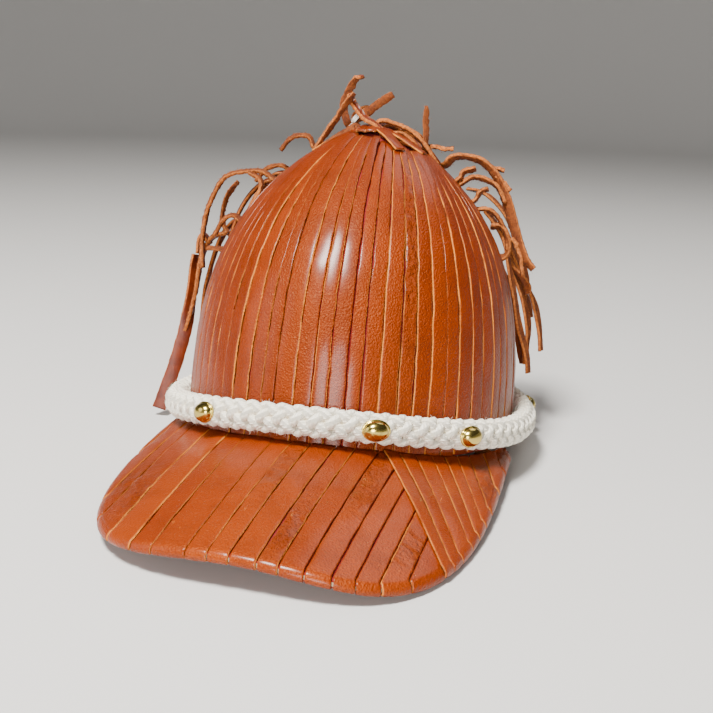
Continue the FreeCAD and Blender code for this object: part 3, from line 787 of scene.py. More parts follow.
class CAP_OT_brim(bpy.types.Operator):
    """Lay the two groups of strips over the brim and fold them under its edge"""
    bl_idname = "cap.brim"
    bl_label = "Brim strips"

    def execute(self, context):
        s = context.scene.cap.brim
        rng = random.Random(s.seed)
        seam_turn = math.radians(s.seam_slant)
        seam_at = np.array([38.7, -96.6])
        seam_side = np.array([math.cos(seam_turn), math.sin(seam_turn)])

        def beyond_seam(tuck, sign):
            def test(x, y):
                across = (x - seam_at[0]) * seam_side[0] + (y - seam_at[1]) * seam_side[1]
                return sign * across - tuck

            return test

        def behind_end(x, y):
            return y - BRIM_END_LINE

        def under_rope(x, y):
            return -outside_crown(x, y)

        radius = BRIM_THICK / 2
        inset = brim_inset(radius)
        # Left group: parallel lines, given by where they meet the front edge.
        fronts = [-107.0, -97.0, -86.0, -78.0, -63.4, -49.0, -38.0, -22.3, -12.5, -3.2, 9.1, 18.0,
                  28.4, 39.5, 48.0,
                  57.0, 66.4, 76.0, 86.0]
        groups = {"right": [], "left": []}
        for x0, x1 in zip(fronts, fronts[1:]):
            lines = [(np.array([x, -203.0]) + np.array([s.slant, 1.0]) * 202.0, np.array([-s.slant, -1.0]))
                     for x in (x0, x1)]
            groups["right"].append((lines, (under_rope, behind_end, inset, beyond_seam(3.0, 1))))
        # Right group: from the rope outward, fanning towards the side.
        roots = [(38.7, -96.6), (46, -92.5), (52.6, -87.0), (59.7, -80.4), (65.3, -74.4),
                 (70.8, -67.9), (75.8, -61.3),
                 (82.4, -51.3), (87.3, -39.0), (89.8, -26.0), (90.4, -18.0)]
        for k, (r0, r1) in enumerate(zip(roots, roots[1:])):
            lines = []
            for r, n in ((r0, k), (r1, k + 1)):
                turn = math.radians(s.seam_slant - s.fan * n / 8)
                direction = np.array([math.sin(turn), -math.cos(turn)])
                lines.append((np.array(r) - direction * 12, direction))
            groups["left"].append((lines, (under_rope, behind_end, inset)))

        for side, strips in groups.items():
            part = Leather()
            for k, (lines, tests) in enumerate(strips):
                self.strip(part, s, rng, lines, tests, radius, k, side)
            piece = part.build("leather_brim_strips_" + side, finish_of("brim_leather"))
            fit_out(piece, "brim_leather", nodes=("brim_strips_" + side,))
        return {"FINISHED"}

    def strip(self, part, s, rng, lines, tests, radius, number, side):
        (o0, d0), (o1, d1) = lines
        gap = rng.uniform(0.03, 0.10)
        columns = []
        for share in (ACROSS + 1) / 2:
            share = gap / 2 + share * (1 - gap)
            origin, direction = o0 + (o1 - o0) * share, unit(d0 + (d1 - d0) * share)
            span = clip_line(origin, direction, 260, tests)
            columns.append((origin, direction, span))
        if sum(c[2] is not None for c in columns) < 3:
            return
        spans = [c[2] for c in columns]
        known = [i for i, span in enumerate(spans) if span is not None]
        rows = 46
        tops = np.zeros((rows, len(columns), 2))
        for j, (origin, direction, span) in enumerate(columns):
            if span is None:
                origin, direction, span = columns[min(known, key=lambda i: abs(i - j))]
            ts = np.linspace(span[0], span[1], rows)
            tops[:, j] = origin[None] + ts[:, None] * direction[None]
        x, y = tops[..., 0], tops[..., 1]
        normals = brim_normal(x, y)
        points = np.stack([x, y, brim_height(x, y)], -1)
        share = np.linspace(0, 1, rows)
        lift = np.full((rows, len(columns)), 0.05 + 0.25 * rng.random())
        if side == "left" and number == 0:
            lift += np.interp(ACROSS, [-1, 1], [1.5, 0.4])[None]
        if side == "left" and number == 1:
            lift += np.interp(ACROSS, [-1, 1], [0.5, 0.0])[None]
        wrinkled = rng.random() < 0.3
        depth = 0.9 if wrinkled else 0.15
        wrinkle = np.clip(1.2 - np.abs(share - rng.uniform(0.3, 0.8)) * 3.0, 0, 1) * depth
        swell = np.array([[ripple(p, 0.06, number * 1.7) for p in row] for row in points]) * 0.4
        crease = np.array([[ripple(p, 0.2, number) for p in row] for row in points]) * wrinkle[:, None] * 0.9
        lift = lift + (swell + crease) * np.clip((1 - share) * 8, 0, 1)[:, None]
        points = points + normals * lift[..., None]
        ragged = [[ripple((a * 5, 0, r * 60), 0.13, number * 2.3) for a in (-1, 1)] for r in share]
        ragged = np.array(ragged) * 0.35
        sideways = unit(points[:, -1] - points[:, 0])
        edges = np.where(ACROSS < 0, ragged[:, :1], ragged[:, 1:]) * np.abs(ACROSS) ** 3
        points = points + sideways[:, None] * edges[..., None]
        # Fold under: half a turn round the brim's edge, then flat beneath it.
        edge_x, edge_y = x[-1], y[-1]
        step = 0.3
        out = unit(np.stack([outside_brim(edge_x + step, edge_y) - outside_brim(edge_x - step, edge_y),
                             outside_brim(edge_x, edge_y + step) - outside_brim(edge_x, edge_y - step),
                             np.zeros_like(edge_x)], -1))
        skin = normals[-1]
        upright = np.array([0.0, 0.0, 1.0])
        slope = -np.sum(skin * out, -1, keepdims=True) / skin[:, 2:]
        outward_along = out + upright * slope
        centre = points[-1] - upright * radius
        fold, fold_normals = [], []
        for phi in np.linspace(0, math.pi, 11)[1:]:
            direction = outward_along * math.sin(phi) + upright * math.cos(phi)
            fold.append(centre + direction * radius)
            fold_normals.append(unit(direction))
        length = s.turned_under * rng.uniform(0.8, 1.1)
        for distance in np.linspace(0, length, 7)[1:]:
            place = centre - out * distance
            flat = np.stack([place[:, 0], place[:, 1]], -1)
            place[:, 2] = brim_height(flat[:, 0], flat[:, 1]) - 2 * radius - 0.1
            fold.append(place)
            fold_normals.append(-brim_normal(flat[:, 0], flat[:, 1]))
        grid = np.concatenate([points, np.array(fold)])
        all_normals = np.concatenate([normals, np.array(fold_normals)])
        wrinkles = np.concatenate([wrinkle, np.zeros(len(fold))])
        part.strip(grid, s.thick, all_normals, rng.random(), wrinkles,
                   bevels=(rng.uniform(0.1, 0.8), rng.uniform(0.1, 0.8)))


def modifier_tree(name, sockets):
    """A geometry tree with named inputs. Gives the graph, its inputs by name and its output node."""
    tree = bpy.data.node_groups.new(name, "GeometryNodeTree")
    tree.interface.new_socket("Geometry", in_out="INPUT", socket_type="NodeSocketGeometry")
    for label, kind in sockets:
        tree.interface.new_socket(label, in_out="INPUT", socket_type=kind)
    tree.interface.new_socket("Geometry", in_out="OUTPUT", socket_type="NodeSocketGeometry")
    start, end = tree.nodes.new("NodeGroupInput"), tree.nodes.new("NodeGroupOutput")
    graph = Graph(tree)
    inputs = {socket.name: Signal(graph, socket) for socket in start.outputs if socket.name}
    return graph, inputs, end


def grown(name, source, tree, values):
    """Runs a tree on source data and keeps the result as a plain mesh object."""
    holder = bpy.data.objects.new(name + "_source", source)
    bpy.context.collection.objects.link(holder)
    modifier = holder.modifiers.new("Grow", "NODES")
    modifier.node_group = tree
    for item in tree.interface.items_tree:
        if item.item_type == "SOCKET" and item.in_out == "INPUT" and item.name in values:
            modifier[item.identifier] = values[item.name]
    bpy.context.view_layer.update()
    depsgraph = bpy.context.evaluated_depsgraph_get()
    mesh = bpy.data.meshes.new_from_object(holder.evaluated_get(depsgraph), depsgraph=depsgraph)
    mesh.name = name
    piece = bpy.data.objects.new(name, mesh)
    bpy.context.collection.objects.link(piece)
    bpy.data.objects.remove(holder)
    return piece


def path_curve(name, points, cyclic=False):
    curve = bpy.data.curves.new(name, "CURVE")
    curve.dimensions = "3D"
    spline = curve.splines.new("POLY")
    spline.points.add(len(points) - 1)
    spline.points.foreach_set("co", np.column_stack([placed(points), np.ones(len(points))]).ravel())
    spline.use_cyclic_u = cyclic
    return curve


def braid_tree():
    g, inputs, end = modifier_tree("Round braid", (
        ("Strands", "NodeSocketInt"), ("Turns", "NodeSocketFloat"), ("Half thick", "NodeSocketFloat"),
        ("Half tall", "NodeSocketFloat"), ("Strand radius", "NodeSocketFloat"), ("Over", "NodeSocketFloat"),
        ("Finish", "NodeSocketMaterial")))
    path = g.add("GeometryNodeResampleCurve", {}, {"Curve": inputs["Geometry"], "Count": 900})
    path = g.add("GeometryNodeSetCurveNormal", {"mode": "Z_UP"}, {"Curve": path})
    copies = g.add("GeometryNodeDuplicateElements", {"domain": "SPLINE"},
                   {"Geometry": path, "Amount": inputs["Strands"]})
    index = Signal(g, copies.socket.node.outputs["Duplicate Index"])
    half = inputs["Strands"] / 2
    other = g.add("ShaderNodeMath", {"operation": "LESS_THAN"}, {0: index, 1: half - 0.5})
    way = other * 2 - 1
    along = g.add("GeometryNodeSplineParameter", {}, {}, "Factor")
    length = g.add("GeometryNodeSplineParameter", {}, {}, "Length")
    turn = along * inputs["Turns"]
    phase = way * turn * (2 * math.pi) + index / half * (2 * math.pi) + (1 - other) * (2 * math.pi / 8)
    wave = way * (turn * (8 * math.pi)).sine()
    thick = inputs["Half thick"] + wave * inputs["Over"]
    tall = inputs["Half tall"] + wave * inputs["Over"]
    tangent = g.add("GeometryNodeInputTangent")
    normal = g.add("GeometryNodeInputNormal", {}, {}, 0)
    side = g.add("ShaderNodeVectorMath", {"operation": "CROSS_PRODUCT"}, {0: tangent, 1: normal})
    first = g.add("ShaderNodeVectorMath", {"operation": "SCALE"},
                  {0: normal, "Scale": phase.cosine() * thick})
    second = g.add("ShaderNodeVectorMath", {"operation": "SCALE"}, {0: side, "Scale": phase.sine() * tall})
    offset = g.add("ShaderNodeVectorMath", {"operation": "ADD"}, {0: first, 1: second})
    # depth: how far a strand rises over its neighbour; the rope finish paints shade where it is low.
    kept = g.add("GeometryNodeStoreNamedAttribute", {"data_type": "FLOAT", "domain": "POINT"},
                 {"Geometry": copies, "Name": "depth", "Value": wave * 0.5 + 0.5})
    kept = g.add("GeometryNodeStoreNamedAttribute", {"data_type": "FLOAT", "domain": "POINT"},
                 {"Geometry": kept, "Name": "along", "Value": length * 100 + index * 7.7})
    moved = g.add("GeometryNodeSetPosition", {}, {"Geometry": kept, "Offset": offset})
    ring = g.add("GeometryNodeCurvePrimitiveCircle", {"mode": "RADIUS"},
                 {"Resolution": 9, "Radius": inputs["Strand radius"]})
    ring = g.add("GeometryNodeStoreNamedAttribute", {"data_type": "FLOAT", "domain": "POINT"},
                 {"Geometry": ring, "Name": "around",
                  "Value": g.add("GeometryNodeSplineParameter", {}, {}, "Factor")})
    solid_mesh = g.add("GeometryNodeCurveToMesh", {},
                       {"Curve": moved, "Profile Curve": ring, "Fill Caps": True})
    place = g.add("GeometryNodeInputPosition")
    fuzz = g.noise(place, 420, 3)
    skin = g.add("GeometryNodeInputNormal", {}, {}, 0)
    swell = g.add("ShaderNodeVectorMath", {"operation": "SCALE"}, {0: skin, "Scale": (fuzz - 0.5) * 0.0011})
    rough = g.add("GeometryNodeSetPosition", {}, {"Geometry": solid_mesh, "Offset": swell})
    smooth = g.add("GeometryNodeSetShadeSmooth", {}, {"Geometry": rough})
    real = g.add("GeometryNodeRealizeInstances", {}, {"Geometry": smooth})
    done = g.add("GeometryNodeSetMaterial", {}, {"Geometry": real, "Material": inputs["Finish"]})
    g.tree.links.new(done.socket, end.inputs[0])
    return g.tree


def tube(points, radius, sides=8, closed=False):
    """Points and faces of a round tube by parallel transport."""
    p = np.asarray(points, dtype=float)
    n = len(p)
    if closed:
        along = unit(np.roll(p, -1, axis=0) - np.roll(p, 1, axis=0))
    else:
        along = unit(np.gradient(p, axis=0))
    start = np.cross(along[0], (0.3, 0.5, 0.8))
    normals = [start / np.linalg.norm(start)]
    for i in range(1, n):
        v = normals[-1] - along[i] * (normals[-1] @ along[i])
        normals.append(v / np.linalg.norm(v))
    normals = np.array(normals)
    sideways = np.cross(along, normals)
    turns = 2 * math.pi * np.arange(sides) / sides
    radius = np.broadcast_to(np.asarray(radius, dtype=float), (n,))
    rings = (p[:, None] + radius[:, None, None] * (normals[:, None] * np.cos(turns)[None, :, None]
                                                   + sideways[:, None] * np.sin(turns)[None, :, None]))
    faces = []
    for i in range(n if closed else n - 1):
        a, b = i * sides, (i + 1) % n * sides
        faces += [(a + j, a + (j + 1) % sides, b + (j + 1) % sides, b + j) for j in range(sides)]
    if not closed:
        faces += [tuple(range(sides))[::-1], tuple((n - 1) * sides + j for j in range(sides))]
    return rings.reshape(-1, 3), faces


def joined(tubes):
    points, faces, count = [], [], 0
    for p, f in tubes:
        points.append(p)
        faces += [tuple(i + count for i in face) for face in f]
        count += len(p)
    return np.concatenate(points), faces


# The whipping at each rope end: where it starts and how far it runs in degrees round the crown, how
# often the thread goes round, and the steps of each turn.
WHIP_START = 144.2
WHIP_SPAN = 5.2
WHIP_TURNS = 12
WHIP_STEPS = 24


class CAP_OT_rope(bpy.types.Operator):
    """Braid the rope band and whip its two ends with thread"""
    bl_idname = "cap.rope"
    bl_label = "Rope band"

    def execute(self, context):
        s = context.scene.cap.rope
        line = np.array([rope_centre(a) for a in np.linspace(-s.end, s.end, 400)])
        core = s.strand_radius + s.over
        rope = grown("cotton_rope_band", path_curve("rope_path", line), braid_tree(), {
            "Strands": s.strands, "Turns": s.turns, "Half thick": (ROPE_THICK - core) * MM,
            "Half tall": (ROPE_TALL - core) * MM, "Strand radius": s.strand_radius * MM, "Over": s.over * MM,
            "Finish": finish_of("cotton_rope")})
        fit_out(rope, "cotton_rope", nodes=("rope_band",))
        points, faces = tube(line[::4], ROPE_THICK - core + 0.4, 12)
        core_piece = solid("rope_core", points, faces, finish_of("cotton_rope"))
        fit_out(core_piece, "cotton_rope")
        for side, sign in (("left", 1), ("right", -1)):
            wraps = []
            for i in range(WHIP_TURNS * WHIP_STEPS + 1):
                angle = sign * (WHIP_START + WHIP_SPAN * i / (WHIP_TURNS * WHIP_STEPS))
                turn = 2 * math.pi * i / WHIP_STEPS
                out, centre = outward(angle), rope_centre(angle)
                wraps.append(centre + out * math.cos(turn) * (ROPE_THICK - 0.5)
                             + np.array([0, 0, 1]) * math.sin(turn) * (ROPE_TALL - 0.6))
            points, faces = tube(wraps, 0.55, 6)
            whipping = solid("whipping_" + side, points, faces, finish_of("white_thread"))
            fit_out(whipping, "white_thread", nodes=("rope_whipping_" + side,))
        return {"FINISHED"}


STUD_HALF_LONG = 7.0
STUD_HALF_SHORT = 5.4
# angle round the crown and tilt of each oval stud
STUDS = ((-128, 0), (-86, 0), (-31, 15), (20, 0), (48, 0), (112, 0), (136, 0))
# radius shares, height in mm and rim mark down a stud's side
STUD_PROFILE = ((0.0, 4.9, 0), (0.22, 4.8, 0), (0.42, 4.45, 0), (0.6, 3.85, 0), (0.74, 3.0, 0),
                (0.83, 2.0, 0),
                (0.87, 1.1, 0.2), (0.88, 0.75, 0.6), (0.94, 0.7, 1), (0.99, 0.55, 1), (1.0, 0.2, 1),
                (0.97, -0.6, 1),
                (0.0, -0.8, 1))


def stud_tree():
    g, inputs, end = modifier_tree("Studs", (("Stud", "NodeSocketObject"), ("Finish", "NodeSocketMaterial")))
    shape = g.add("GeometryNodeObjectInfo", {}, {"Object": inputs["Stud"]}, "Geometry")
    turn = g.add("GeometryNodeInputNamedAttribute", {"data_type": "FLOAT_VECTOR"}, {"Name": "turn"}, 0)
    studs = g.add("GeometryNodeInstanceOnPoints", {}, {
        "Points": g.add("GeometryNodeMeshToPoints", {}, {"Mesh": inputs["Geometry"]}),
        "Instance": shape, "Rotation": turn})
    real = g.add("GeometryNodeRealizeInstances", {}, {"Geometry": studs})
    done = g.add("GeometryNodeSetMaterial", {}, {"Geometry": real, "Material": inputs["Finish"]})
    g.tree.links.new(done.socket, end.inputs[0])
    return g.tree


class CAP_OT_studs(bpy.types.Operator):
    """Set the oval studs along the rope"""
    bl_idname = "cap.studs"
    bl_label = "Studs"

    def execute(self, context):
        around = 40
        points, faces, rim = [(0, 0, STUD_PROFILE[0][1])], [], [0.0]
        for share, height, mark in STUD_PROFILE[1:-1]:
            for k in range(around):
                turn = 2 * math.pi * k / around
                points.append((STUD_HALF_LONG * share * math.cos(turn),
                               STUD_HALF_SHORT * share * math.sin(turn), height))
                rim.append(mark)
        points.append((0, 0, STUD_PROFILE[-1][1]))
        rim.append(1.0)
        last = len(points) - 1
        for k in range(around):
            n = (k + 1) % around
            faces.append((0, 1 + k, 1 + n))
            for i in range(len(STUD_PROFILE) - 3):
                a, b = 1 + i * around, 1 + (i + 1) * around
                faces.append((a + k, b + k, b + n, a + n))
            a = 1 + (len(STUD_PROFILE) - 3) * around
            faces.append((a + n, a + k, last))
        mesh = bpy.data.meshes.new("stud_shape")
        mesh.from_pydata((np.array(points) * MM).tolist(), [], faces)
        mesh.attributes.new("rim", "FLOAT", "POINT").data.foreach_set("value", rim)
        mesh.shade_smooth()
        shape = bpy.data.objects.new("stud_shape", mesh)
        context.collection.objects.link(shape)
        places, turns = [], []
        for angle, tilt in STUDS:
            out = outward(angle)
            across = np.cross((0, 0, 1), out)
            up = np.cross(out, across)
            places.append(rope_centre(angle) + out * (ROPE_THICK - 0.9))
            facing = Matrix(np.column_stack([across, up, out]).tolist())
            facing = facing @ Matrix.Rotation(math.radians(tilt), 3, "Z")
            turns.append((PLACE.to_3x3().normalized() @ facing).to_euler("XYZ"))
        spots = bpy.data.meshes.new("stud_spots")
        spots.from_pydata(placed(places).tolist(), [], [])
        spots.attributes.new("turn", "FLOAT_VECTOR", "POINT").data.foreach_set(
            "vector", np.array([tuple(t) for t in turns]).ravel())
        studs = grown("brass_studs", spots, stud_tree(), {"Stud": shape, "Finish": finish_of("stud_brass")})
        bpy.data.objects.remove(shape)
        fit_out(studs, "stud_brass", nodes=("studs",))
        return {"FINISHED"}


def ribbon(part, rng, line, across, width, thick, twist=(0, 0), taper=(0.75, 0.8), fray=0.35, curl=0.0,
           suede_face=False, rough=0.0, wave=0.0):
    """A tail along a line: its width starts along a direction and turns by the twist angles on the way."""
    rows = max(16, int(np.sum(np.linalg.norm(np.diff(smooth_line(line, 60), axis=0), axis=1)) / 1.0))
    centre = smooth_line(line, rows)
    share = np.linspace(0, 1, rows)
    along = unit(np.gradient(centre, axis=0))
    wanted = np.array(across, dtype=float)
    side = unit(wanted[None] - along * (along @ wanted)[:, None])
    face = np.cross(side, along)
    seed = rng.uniform(0, 100)
    turn = np.radians(np.interp(share, np.linspace(0, 1, len(twist)), twist))
    turn = turn + np.array([ripple((0, 0, k), 0.05, seed) for k in range(rows)]) * 0.35
    spun = side * np.cos(turn)[:, None] + face * np.sin(turn)[:, None]
    spun_face = np.cross(spun, along)
    wide = width / 2 * np.interp(share, [0, 0.15, 0.8, 1], [taper[0], 1, 1, taper[1]])
    centre = centre + spun_face * (np.sin(share * math.pi * 5 + seed) * wave)[:, None]
    grid, normals = [], []
    for s in ACROSS:
        ragged = np.array([ripple((s * 3, 0, k), 0.55, seed) + ripple((s, 0, k), 0.2, seed)
                           for k in range(rows)]) * fray * abs(s)
        bow = -curl * (s * s) * wide
        grid.append(centre + spun * (s * (wide + ragged))[:, None] + spun_face * bow[:, None])
        normals.append(unit(spun_face + spun * (2 * curl * s)))
    part.strip(np.stack(grid, 1), thick, np.stack(normals, 1), rng.random(), suede_face=suede_face,
               rough=rough)


# Loose ends as (points, direction of the width, width, twist angles, curl, raw side out).
TOP_TAILS = (
    (((-6, 14, 160), (-14, 14, 166), (-18, 14, 177), (-15, 13, 186), (-11, 12, 191), (-7, 10, 192)),
     (1, 0.4, 0.2), 4.6, (0, 10, -15), 0.2, True),
    (((-33, 12, 150), (-29, 8, 154), (-20, 7, 168), (-15, 6, 176), (-10, 5, 183)),
     (0.3, 1, 0), 4.0, (0, 15, 25), 0.2, True),
    (((-11, 14, 169), (-4, 14, 174), (2, 14, 179), (10, 13, 184)),
     (0.6, 0.2, -0.8), 5.6, (0, 8, -8), 0.3, True),
    (((-15, 12, 183), (-12, 11, 178), (-5, 9, 170), (3, 8, 165), (9, 7, 160), (24, 9, 156)),
     (0.5, 0.5, 0.5), 4.6, (0, 20, 0), 0.3, True),
    (((2, 16, 163), (3, 12, 166), (7, 12, 168), (18, 13, 165), (25, 13, 160), (32, 14, 153), (37, 16, 146)),
     (0, 1, 0.2), 5.5, (0, 10, 20, 0), 0.2, True),
    (((33, 22, 146), (31, 16, 154), (30, 16, 166), (29, 16, 179)),
     (0.8, 0.6, 0), 3.6, (0, -10, 12), 0.2, True),
    (((26, 24, 154), (33, 21, 156), (38, 21, 155), (45, 22, 155)), (0, 1, 0.3), 3.4, (0, 20, 0), 0.2, True),
    (((-7, 10, 166), (-11, 9, 167), (-17, 7, 162), (-27, 5, 154), (-42, 9, 144), (-56, 15, 135),
     (-65, 18, 124),
      (-71, 18, 111)), (0.3, 1, 0.45), 8.5, (0, 25, 10, 0), 0.5, True),
    (((-36, 40, 148), (-39, 36, 155), (-42, 36, 160), (-48, 37, 162), (-55, 38, 160), (-62, 38, 152)),
     (0.1, 1, 0), 4.2, (0, 15, 30), 0.3, True),
    (((-50, 46, 136), (-57, 48, 141), (-64, 48, 144), (-73, 48, 141), (-80, 48, 133)),
     (0, 1, 0), 4.6, (0, 10, 30), 0.3, True),
    (((8, 8, 158), (13, 10, 160), (20, 12, 159), (27, 14, 153)),
     (0.3, 1, 0.3), 7.0, (0, 30, -20), 0.6, True),
    (((14, 16, 160), (19, 15, 163), (25, 17, 161), (31, 20, 153)),
     (0.1, 1, 0.4), 5.0, (10, -30, 20), 0.6, True),
    (((-8, 18, 164), (-12, 20, 170), (-9, 22, 175), (-3, 24, 176)),
     (0.2, 1, 0.3), 5.0, (0, 40, 60), 0.4, True),
    (((-2, 20, 165), (4, 28, 169), (9, 37, 167), (12, 45, 158)),
     (1, -0.2, 0), 5.5, (0, 15, -15), 0.3, False),
)
LEFT_TAILS = (
    (((34, 30, 143), (41, 32, 146), (45, 33, 150), (51, 34, 151), (59, 34, 149), (66, 34, 143),
     (71, 34, 135),
      (76, 33, 125), (80, 32, 114), (84, 31, 103), (88, 30, 95), (93, 30, 90)),
     (0.1, 1, 0), 9.0, (0, 5, 20, 48, 45, 25), 0.4, True),
    (((80, 31, 108), (84, 31, 101), (86, 30, 94), (87, 30, 87)), (0.4, 1, 0), 4.0, (0, 20, 30), 0.2, True),
    (((44, 26, 133), (51, 28, 136), (56, 29, 140), (62, 30, 139), (69, 32, 136), (74, 33, 127)),
     (0, 1, 0), 5.5, (0, 10, 0), 0.3, True),
    (((44, 24, 134), (50, 26, 139), (52, 27, 143), (58, 28, 145)), (0, 1, 0), 5.0, (0, 10, 30), 0.2, True),
    (((60, 33, 149), (67, 35, 146), (73, 36, 145)), (0, 1, 0), 3.4, (0, 20, 10), 0.2, True),
    (((68, 33, 142), (72, 33, 139), (77, 33, 134)), (0, 1, 0.2), 3.0, (0, 20, 10), 0.2, True),
    (((56, 24, 124), (60, 26, 128), (63, 26, 133), (66, 26, 134)), (0, 1, 0), 4.5, (0, 20, 40), 0.3, True),
    (((58, 28, 122), (66, 30, 122), (72, 32, 117), (76, 34, 108), (77, 35, 101)),
     (0, 1, 0), 5.0, (0, 20, 0), 0.4, True),
    (((68, 34, 112), (73, 35, 112), (77, 36, 106), (76, 37, 99), (72, 37, 98)),
     (0.2, 1, 0), 9.0, (0, 10, 20), 0.4, True),
    (((72, 40, 112), (76, 38, 104), (79, 38, 90), (83, 40, 73), (87, 41, 57), (92, 42, 41), (94, 42, 30)),
     (0.35, 1, 0), 6.0, (0, 10, -5, 0), 0.2, False),
    (((66, 54, 116), (76, 52, 104), (86, 52, 84), (93, 54, 70), (97, 55, 57), (99, 55, 42)),
     (0.3, 1, 0), 8.5, (0, 12, 0), 0.25, False),
    (((62, 46, 122), (73, 46, 108), (82, 48, 86), (88, 50, 69), (91, 51, 54), (91, 52, 36)),
     (0.3, 1, 0), 8.0, (0, -10, 8), 0.25, False),
    (((76, 44, 96), (82, 44, 88), (88, 43, 82), (90, 42, 76)), (0.3, 1, 0.1), 7.0, (0, 30, 50), 0.6, True),
    (((48, 68, 134), (62, 68, 130), (75, 70, 114), (84, 70, 90), (91, 68, 60)),
     (0.4, 1, 0), 8.0, (0, 15, -10), 0.2, False),
)
RIGHT_TAILS = (
    (((-54, 22, 131), (-61, 24, 136), (-67, 24, 139), (-76, 24, 139), (-87, 24, 137), (-94, 24, 131),
     (-99, 23, 120),
      (-102, 22, 111), (-103, 20, 95), (-101, 18, 79)), (0, 1, 0), 6.5, (0, 5, 15, 10, 0), 0.3, True),
    (((-72, 16, 106), (-70, 18, 116), (-65, 20, 127), (-67, 21, 134), (-74, 22, 138)),
     (0.1, 1, 0), 5.0, (0, 0, 15), 0.2, True),
    (((-73, 4, 94), (-72, 8, 105), (-74, 9, 110), (-79, 9, 113), (-86, 9, 109), (-92, 9, 99)),
     (0.1, 1, 0), 6.0, (0, 10, 0), 0.3, True),
    (((-86, 34, 96), (-93, 34, 108), (-92, 34, 119), (-89, 34, 126), (-85, 34, 131)),
     (0.1, 1, 0), 4.0, (0, 20, 40), 0.3, True),
    (((-78, -10, 52), (-78, -8, 64), (-77, -4, 78), (-77, -2, 88), (-82, 0, 93), (-91, 0, 93)),
     (0.1, 1, 0), 5.0, (0, 5, 15, 25), 0.4, True),
    (((-88, 26, 102), (-98, 26, 98), (-105, 26, 84), (-108, 26, 62), (-111, 25, 46), (-114, 25, 36)),
     (0.1, 1, 0), 6.0, (0, 10, 0), 0.2, True),
    (((-78, 40, 112), (-90, 40, 108), (-100, 38, 90), (-104, 36, 68), (-105, 34, 46)),
     (0.15, 1, 0), 7.5, (0, 10, -8), 0.2, False),
    (((-56, 34, 134), (-68, 36, 134), (-80, 36, 124), (-88, 35, 106), (-92, 33, 86)),
     (0.15, 1, 0), 7.5, (0, 20, 0), 0.3, False),
    (((-52, 50, 140), (-68, 52, 138), (-80, 52, 122), (-88, 51, 98), (-94, 50, 72)),
     (0.3, 1, 0), 7.5, (0, -10, 12), 0.2, False),
    (((-48, 66, 134), (-62, 68, 132), (-76, 70, 115), (-85, 70, 91), (-92, 68, 60)),
     (0.4, 1, 0), 8.0, (0, 15, -10), 0.2, False),
)
BACK_STRIPS = (("fringe_back_left", (118, 129, 140, 151)), ("fringe_back_centre", (163, 174, 185, 196)),
               ("fringe_back_right", (208, 219, 230, 241)))
LONG_STRIP = ((-107.5, 30, 86), (-109, 27, 58), (-113, 19, 26), (-119.5, 7, -6))


class CAP_OT_fringe(bpy.types.Operator):
    """Hang the loose ends at the top, the sides and the back"""
    bl_idname = "cap.fringe"
    bl_label = "Fringe"

    def execute(self, context):
        s = context.scene.cap.fringe
        rng = random.Random(s.seed)
        for side, tails in (("top", TOP_TAILS), ("left", LEFT_TAILS), ("right", RIGHT_TAILS)):
            part = Leather()
            for line, across, width, twist, curl, raw in tails:
                ribbon(part, rng, line, across, width, s.thick * (1.25 if raw else 0.9), twist, (0.85, 0.8),
                       0.6 if raw else 0.3, curl, raw, 0.5 if raw else 0.1, 0.2)
            fit_out(part.build("leather_fringe_" + side, finish_of("fringe_leather")), "fringe_leather",
                    nodes=("fringe_" + side,))
        for name, angles in BACK_STRIPS:
            part = Leather()
            for i, angle in enumerate(angles):
                self.hanging(part, rng, angle, 34 + 9 * (i % 3), s.thick)
            fit_out(part.build("leather_" + name, finish_of("fringe_leather")), "fringe_leather",
                    nodes=(name,))
        part = Leather()
        root = ((-100, 33, 93), (-104, 32, 99), (-107, 31, 96), (-107.5, 30, 86.6))
        ribbon(part, rng, root, (0, 1, 0), 7.5, s.thick, (0, 0), (0.9, 1.0), 0.2)
        fit_out(part.build("leather_long_strip_root", finish_of("fringe_leather")), "fringe_leather",
                nodes=("long_strip_root",))
        part = Leather()
        ribbon(part, rng, LONG_STRIP, (-1, -0.25, 0), 8.5, s.thick, (67, 35, 12, 0), (1.0, 1.0), 0.2, 0.12)
        fit_out(part.build("leather_long_strip", finish_of("fringe_leather")), "fringe_leather", "long_strip",
                nodes=("long_strip",))
        return {"FINISHED"}

    def hanging(self, part, rng, angle, low, thick):
        drop = ((162, 1.5 + rng.random()), (154, 1.5), (128, 2.6), (98, 5), (66, 9), (low, 14))
        line = []
        for i, (height, stand_off) in enumerate(drop):
            aside = rng.uniform(-1.5, 1.5) * (i > 1)
            away = rng.uniform(-1, 1) * (i > 1)
            line.append(tuple(dome_point(angle + aside, height, stand_off + away)))
        turn = math.radians(angle)
        ribbon(part, rng, line, (-math.cos(turn), -math.sin(turn), 0), 9.0, thick,
               (0, rng.uniform(-8, 8), rng.uniform(-25, 25)), (0.5, 0.85), 0.4, 0.25, wave=0.5)


